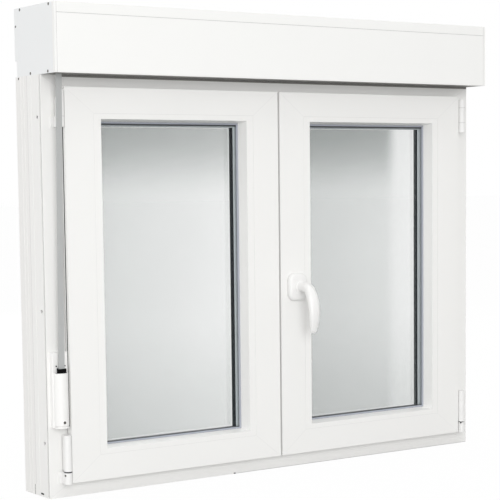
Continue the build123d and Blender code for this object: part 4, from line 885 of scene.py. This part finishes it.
# Belt winder: near black painted shade in the throat that the belt goes into and in two small marks
# beside it, and the cover's rounded foot
WINDER_X, PLATE_FRONT = -0.5745, -0.043
THROAT_Y, THROAT_FOOT, THROAT_TOP = -0.0497, 0.2731, 0.2824
THROAT_OUTER, THROAT_INNER = (0.0198, 0.0076, 0.001), (0.0162, 0.0034, 0.0008)
MARK_NEAR, MARK_FAR, MARK_PROUD = 0.0094, 0.0110, 0.0035
MARK_FOOT, MARK_TOP = 0.2868, 0.2892
FOOT_POINTS = 33
# Radius and height of the rows of the cover's foot
FOOT_ROWS = (
    (0.0150, 0.1534),
    (0.0164, 0.1539),
    (0.0169, 0.1550),
    (0.0169, 0.1562),
    (0.0165, 0.1570),
)


def throat(name, centre, outer, inner, z0, z1):
    """Short upright tube of a rounded outline with a slot through it. Outer and inner hold the
    width, depth and corner radius of the outline and the slot."""
    out_ring = rounded_ring(*outer, count=4)
    in_ring = rounded_ring(*inner, count=4)
    rows = []
    for ring, z in ((out_ring, z0), (out_ring, z1), (in_ring, z1), (in_ring, z0)):
        level = np.full(len(ring), z)
        rows.append(np.stack([ring[:, 0] + centre[0], ring[:, 1] + centre[1], level], axis=-1))
    return place_mesh(name, np.concatenate(rows), loop_faces(4, len(out_ring)), smooth=False)


mouth_place = WINDER_X, THROAT_Y
mouth = throat("belt_throat", mouth_place, THROAT_OUTER, THROAT_INNER, THROAT_FOOT, THROAT_TOP)
dress(turn_out(mouth), painted_recess_shade, "window")
throat_marks = panel(
    "throat_side_shade",
    [(WINDER_X + x, PLATE_FRONT - MARK_PROUD, MARK_FOOT) for x in (-MARK_FAR, MARK_NEAR)],
    [(WINDER_X + x, PLATE_FRONT, MARK_TOP) for x in (-MARK_NEAR, MARK_FAR)],
)
dress(throat_marks, painted_recess_shade, "window")
foot_angle = np.linspace(0, math.pi, FOOT_POINTS)
foot_rows = []
for radius, z in FOOT_ROWS:
    x = WINDER_X + radius * np.cos(foot_angle)
    y = PLATE_FRONT - radius * np.sin(foot_angle)
    foot_rows.append(np.stack([x, y, np.full(FOOT_POINTS, z)], axis=-1))
foot_faces = tube_faces(len(FOOT_ROWS), FOOT_POINTS)
foot = place_mesh("winder_foot", np.concatenate(foot_rows), foot_faces)
dress(turn_out(foot), white_profile, "window")


# Box: grey lines of painted shade in the joint under the top profile and in the end joints, and a
# dark strip of painted shadow on the frame where the box overhangs it
BOX_FACE, JOINT_SUNK = -0.099, 0.0002
TOP_JOINT_HALF, TOP_JOINT_PROUD, TOP_JOINT_SPAN = 0.5935, 0.00015, (1.0274, 1.0284)
END_JOINTS, END_JOINT_WIDTH = (-0.5946, 0.5940), 0.0006
END_JOINT_PROUD, END_JOINT_SPAN = 0.0001, (0.9055, 1.0495)
FOOT_SHADOW_LEFT, FOOT_SHADOW_RIGHT, FOOT_SHADOW_SPAN = -0.5555, 0.5985, (0.9006, 0.9048)
FOOT_SHADOW_PROUD, LINE_SUNK = 0.0012, 0.0004
joint_low = [(-TOP_JOINT_HALF, BOX_FACE - TOP_JOINT_PROUD, TOP_JOINT_SPAN[0])]
joint_high = [(TOP_JOINT_HALF, BOX_FACE + JOINT_SUNK, TOP_JOINT_SPAN[1])]
for x in END_JOINTS:
    joint_low.append((x, BOX_FACE - END_JOINT_PROUD, END_JOINT_SPAN[0]))
    joint_high.append((x + END_JOINT_WIDTH, BOX_FACE + JOINT_SUNK, END_JOINT_SPAN[1]))
dress(panel("box_joint_lines", joint_low, joint_high), joint_shade, "window")
foot_shadow_strip = panel(
    "box_foot_shadow_strip",
    [(FOOT_SHADOW_LEFT, FRAME_FACE - FOOT_SHADOW_PROUD, FOOT_SHADOW_SPAN[0])],
    [(FOOT_SHADOW_RIGHT, FRAME_FACE + LINE_SUNK, FOOT_SHADOW_SPAN[1])],
)
dress(foot_shadow_strip, foot_painted_shadow, "window")

# Both sides of the frame and guides: grey painted shade in the grooves, near black painted shade in
# the slots, and low ribs. Each row holds depth and height of the lower corner and of the upper one,
# then how far the piece stands out from the side and how far it goes in
SIDE_PIECES = (
    (
        "side_groove_inlays",
        joint_shade,
        "white_pvc",
        (
            (-0.0289, 0.0005, -0.0231, 0.9045, -0.00175, 0.0021),
            (0.0310, 0.0235, 0.0317, 0.9045, 0.0001, 0.0003),
        ),
    ),
    (
        "side_slots",
        painted_recess_shade,
        "black_rubber",
        (
            (-0.0035, 0.0048, 0.0100, 0.0080, 0.0001, 0.0003),
            (0.0362, 0.0005, 0.0374, 0.0230, 0.0001, 0.0003),
        ),
    ),
    (
        "side_ribs",
        guide_skin,
        "white_pvc",
        (
            (0.0465, 0.0005, 0.0475, 0.9045, 0.0004, 0.0003),
            (0.0600, 0.0005, 0.0610, 0.9045, 0.0004, 0.0003),
            (0.0125, 0.0105, 0.0135, 0.9045, 0.0004, 0.0003),
        ),
    ),
)
for name, skin, slot, rows in SIDE_PIECES:
    low, high = [], []
    for sign in (-1, 1):
        for y0, z0, y1, z1, proud, sunk in rows:
            near, far = sign * (FRAME_HALF - sunk), sign * (FRAME_HALF + proud)
            low.append((min(near, far), y0, z0))
            high.append((max(near, far), y1, z1))
    dress(panel(name, low, high), skin, "window")

# Painted shade along the sill's foot: a grey line, and a darker spot at its left end
SILL_LINE_LEFT, SILL_LINE_RIGHT, SILL_LINE_FOOT, SILL_LINE_TOP, SILL_LINE_PROUD = -0.118, 0.599, 0.0002, 0.0012, 0.0003
SILL_LINE_END_LEFT, SILL_LINE_END_TOP, SILL_LINE_END_PROUD = -0.1225, 0.0024, 0.0005
sill_line = panel(
    "sill_foot_shade_line",
    [(SILL_LINE_LEFT, FRAME_FACE - SILL_LINE_PROUD, SILL_LINE_FOOT)],
    [(SILL_LINE_RIGHT, FRAME_FACE + LINE_SUNK, SILL_LINE_TOP)],
)
dress(sill_line, joint_shade, "window")
sill_line_end = panel(
    "sill_foot_shade_end",
    [(SILL_LINE_END_LEFT, FRAME_FACE - SILL_LINE_END_PROUD, 0.0)],
    [(SILL_LINE_LEFT, FRAME_FACE + LINE_SUNK, SILL_LINE_END_TOP)],
)
dress(sill_line_end, painted_recess_shade, "window")


# Hanging slats of the shutter
ROLL_MIDDLE, ROLL_CLEAR = 0.005, 0.0562
SHUTTER_TRAVEL, SLAT_COUNT, ROWS_PER_SLAT = 0.89, 23, 10
JOINT_SKIN, SLAT_BULGE, BULGE_POWER = 0.0017, 0.0018, 0.6
REST_STEPS = 6001


def slat_curtain(name, half, y, axle, clear, z_roll, z_end, travel, count):
    """Slats between the roll and the bottom slat. Down to the depth s the lowered height is
    z_roll - s, and the height at rest solves rest - travel * smooth(t) = lowered,
    with t = (z_roll - rest) / (z_roll - z_end) and smooth = 3t^2 - 2t^3.
    Across one slat the skin stands out by a power of a half sine and sinks at the joint. Near the
    roll the slats lie just outside a circle of radius clear round the axle:
    middle = max(y, axle + sqrt(clear^2 - s^2) + skin)."""
    share = np.linspace(0, 1, ROWS_PER_SLAT * count + 1)
    lowered = z_roll - share * (z_roll - z_end + travel)
    t = np.linspace(0, 1, REST_STEPS)
    rest = z_roll - t * (z_roll - z_end)
    fall = rest - travel * (3 * t**2 - 2 * t**3)
    z = np.interp(-lowered, -fall, rest)
    phase = share * count % 1.0
    skin = JOINT_SKIN + SLAT_BULGE * np.sin(phase * math.pi) ** BULGE_POWER
    depth = z_roll - lowered
    middle = np.maximum(y, axle + np.sqrt(np.maximum(clear**2 - depth**2, 0)) + skin)
    ring = np.array([(-half, -1), (half, -1), (half, 1), (-half, 1)])
    points = np.empty((len(z), 4, 3))
    points[:, :, 0] = ring[:, 0]
    points[:, :, 1] = middle[:, None] + skin[:, None] * ring[:, 1]
    points[:, :, 2] = z[:, None]
    return place_mesh(name, points.reshape(-1, 3), tube_faces(len(z), 4), smooth=False)


curtain_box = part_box("curtain")
curtain_middle = (curtain_box[0][1] + curtain_box[1][1]) / 2
roll_height, curtain_end = curtain_box[1][2], curtain_box[0][2]
slats = slat_curtain(
    "hanging_slats",
    curtain_box[1][0],
    curtain_middle,
    ROLL_MIDDLE,
    ROLL_CLEAR,
    roll_height,
    curtain_end,
    SHUTTER_TRAVEL,
    SLAT_COUNT,
)
turn_out(slats)
slats.data.materials.append(slat_skin)
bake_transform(slats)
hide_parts("curtain")


# Camera at the photograph's viewing place, stage and lamps
CAMERA_PLACE = -2.1246, -3.0038, 0.6784
CAMERA_YAW, CAMERA_PITCH, CAMERA_ROLL = -34.18, 5.45, -0.69
FOCAL_PIXELS, PICTURE_PIXELS, SENSOR_WIDTH = 1564.0, 500.0, 36.0
SHIFT_X, SHIFT_Y = 0.024, 0.159
FLOOR_HALF, FLOOR_ROUGH, FLOOR_GLOW = 40, 0.9, 0.97
FLOOR_TONE, FLOOR_SEEN_TONE = (0.5, 0.5, 0.494), (0.9, 0.9, 0.9)
SKY_TONE, SKY_POWER = (1.0, 0.995, 0.985, 1.0), 0.68
SEEN_SKY_TONE, SEEN_SKY_POWER = (1.0, 1.0, 1.0, 1.0), 1.0


def set_camera():
    """Camera axes from yaw, pitch and roll; the lens and shift give the photograph's framing."""
    yaw, pitch, roll = (math.radians(a) for a in (CAMERA_YAW, CAMERA_PITCH, CAMERA_ROLL))
    up = np.array([0.0, 0.0, 1.0])
    right = np.array([math.cos(yaw), math.sin(yaw), 0.0])
    ahead = np.array([-math.sin(yaw), math.cos(yaw), 0.0])
    look = ahead * math.cos(pitch) - up * math.sin(pitch)
    top = up * math.cos(pitch) + ahead * math.sin(pitch)
    side = right * math.cos(roll) + top * math.sin(roll)
    head = -right * math.sin(roll) + top * math.cos(roll)
    data = bpy.data.cameras.new("camera")
    data.sensor_width = SENSOR_WIDTH
    data.lens = FOCAL_PIXELS / PICTURE_PIXELS * data.sensor_width
    data.shift_x = SHIFT_X
    data.shift_y = SHIFT_Y
    camera = bpy.data.objects.new("camera", data)
    scene.collection.objects.link(camera)
    turn = Matrix([[side[i], head[i], -look[i]] for i in range(3)]).to_4x4()
    camera.matrix_world = Matrix.Translation(CAMERA_PLACE) @ turn
    scene.camera = camera


def seen_rays(tree):
    """One for camera, glossy and transmission rays, nought for the rest."""
    rays = tree.nodes.new("ShaderNodeLightPath")
    both = math_node(tree, "MAXIMUM", rays.outputs["Is Camera Ray"], rays.outputs["Is Glossy Ray"])
    return math_node(tree, "MAXIMUM", both, rays.outputs["Is Transmission Ray"])


def mix_shaders(tree, factor, low, high, out):
    """Mixes two shader sockets and links the result to the tree's output node."""
    mixed = tree.nodes.new("ShaderNodeMixShader")
    for index, socket in enumerate((factor, low, high)):
        tree.links.new(socket, mixed.inputs[index])
    tree.links.new(mixed.outputs[0], tree.nodes[out].inputs["Surface"])


def set_floor():
    """Floor plane that looks white when seen and still takes a shadow."""
    corners = [(x * FLOOR_HALF, y * FLOOR_HALF, 0) for x, y in ((-1, -1), (1, -1), (1, 1), (-1, 1))]
    floor = place_mesh("floor", corners, [[0, 1, 2, 3]], smooth=False)
    material, tree, shader = new_material("studio_floor")
    shader.inputs["Roughness"].default_value = FLOOR_ROUGH
    seen = seen_rays(tree)
    colour = mix_colour(tree, seen, FLOOR_TONE, FLOOR_SEEN_TONE)
    tree.links.new(colour, shader.inputs["Base Color"])
    glow = tree.nodes.new("ShaderNodeEmission")
    share = math_node(tree, "MULTIPLY", seen, FLOOR_GLOW)
    mix_shaders(tree, share, shader.outputs[0], glow.outputs[0], "Material Output")
    floor.data.materials.append(material)


def set_sky():
    """Even sky that lights the room, and a white one where it is seen."""
    world = bpy.data.worlds.new("studio_sky")
    scene.world = world
    world.use_nodes = True
    sky = world.node_tree
    lit, white = sky.nodes["Background"], sky.nodes.new("ShaderNodeBackground")
    for light, tone, power in (
        (lit, SKY_TONE, SKY_POWER),
        (white, SEEN_SKY_TONE, SEEN_SKY_POWER),
    ):
        light.inputs["Color"].default_value = tone
        light.inputs["Strength"].default_value = power
    mix_shaders(sky, seen_rays(sky), lit.outputs[0], white.outputs[0], "World Output")


def set_lamp(name, place, target, size, power):
    """Square area lamp at a place, facing a target, with its side in metres and power in watts."""
    data = bpy.data.lights.new(name, "AREA")
    data.shape = "SQUARE"
    data.size = size
    data.energy = power
    lamp = bpy.data.objects.new(name, data)
    scene.collection.objects.link(lamp)
    lamp.rotation_mode = "QUATERNION"
    lamp.rotation_quaternion = (Vector(place) - Vector(target)).to_track_quat("Z", "Y")
    lamp.location = place


set_camera()
set_floor()
set_sky()
set_lamp("front_lamp", (-2.9, -6.0, 1.7), (0.0, 0.0, 0.5), 3.8, 212.0)
set_lamp("left_lamp", (-4.0, 0.2, 1.3), (-0.5, 0.0, 0.5), 2.2, 22.0)
set_lamp("top_lamp", (-0.3, -1.2, 5.5), (0.0, 0.0, 0.5), 2.2, 46.0)
set_lamp("back_lamp", (1.2, 4.0, 2.0), (0.0, 0.0, 0.5), 2.4, 60.0)
scene.view_settings.view_transform = "Standard"
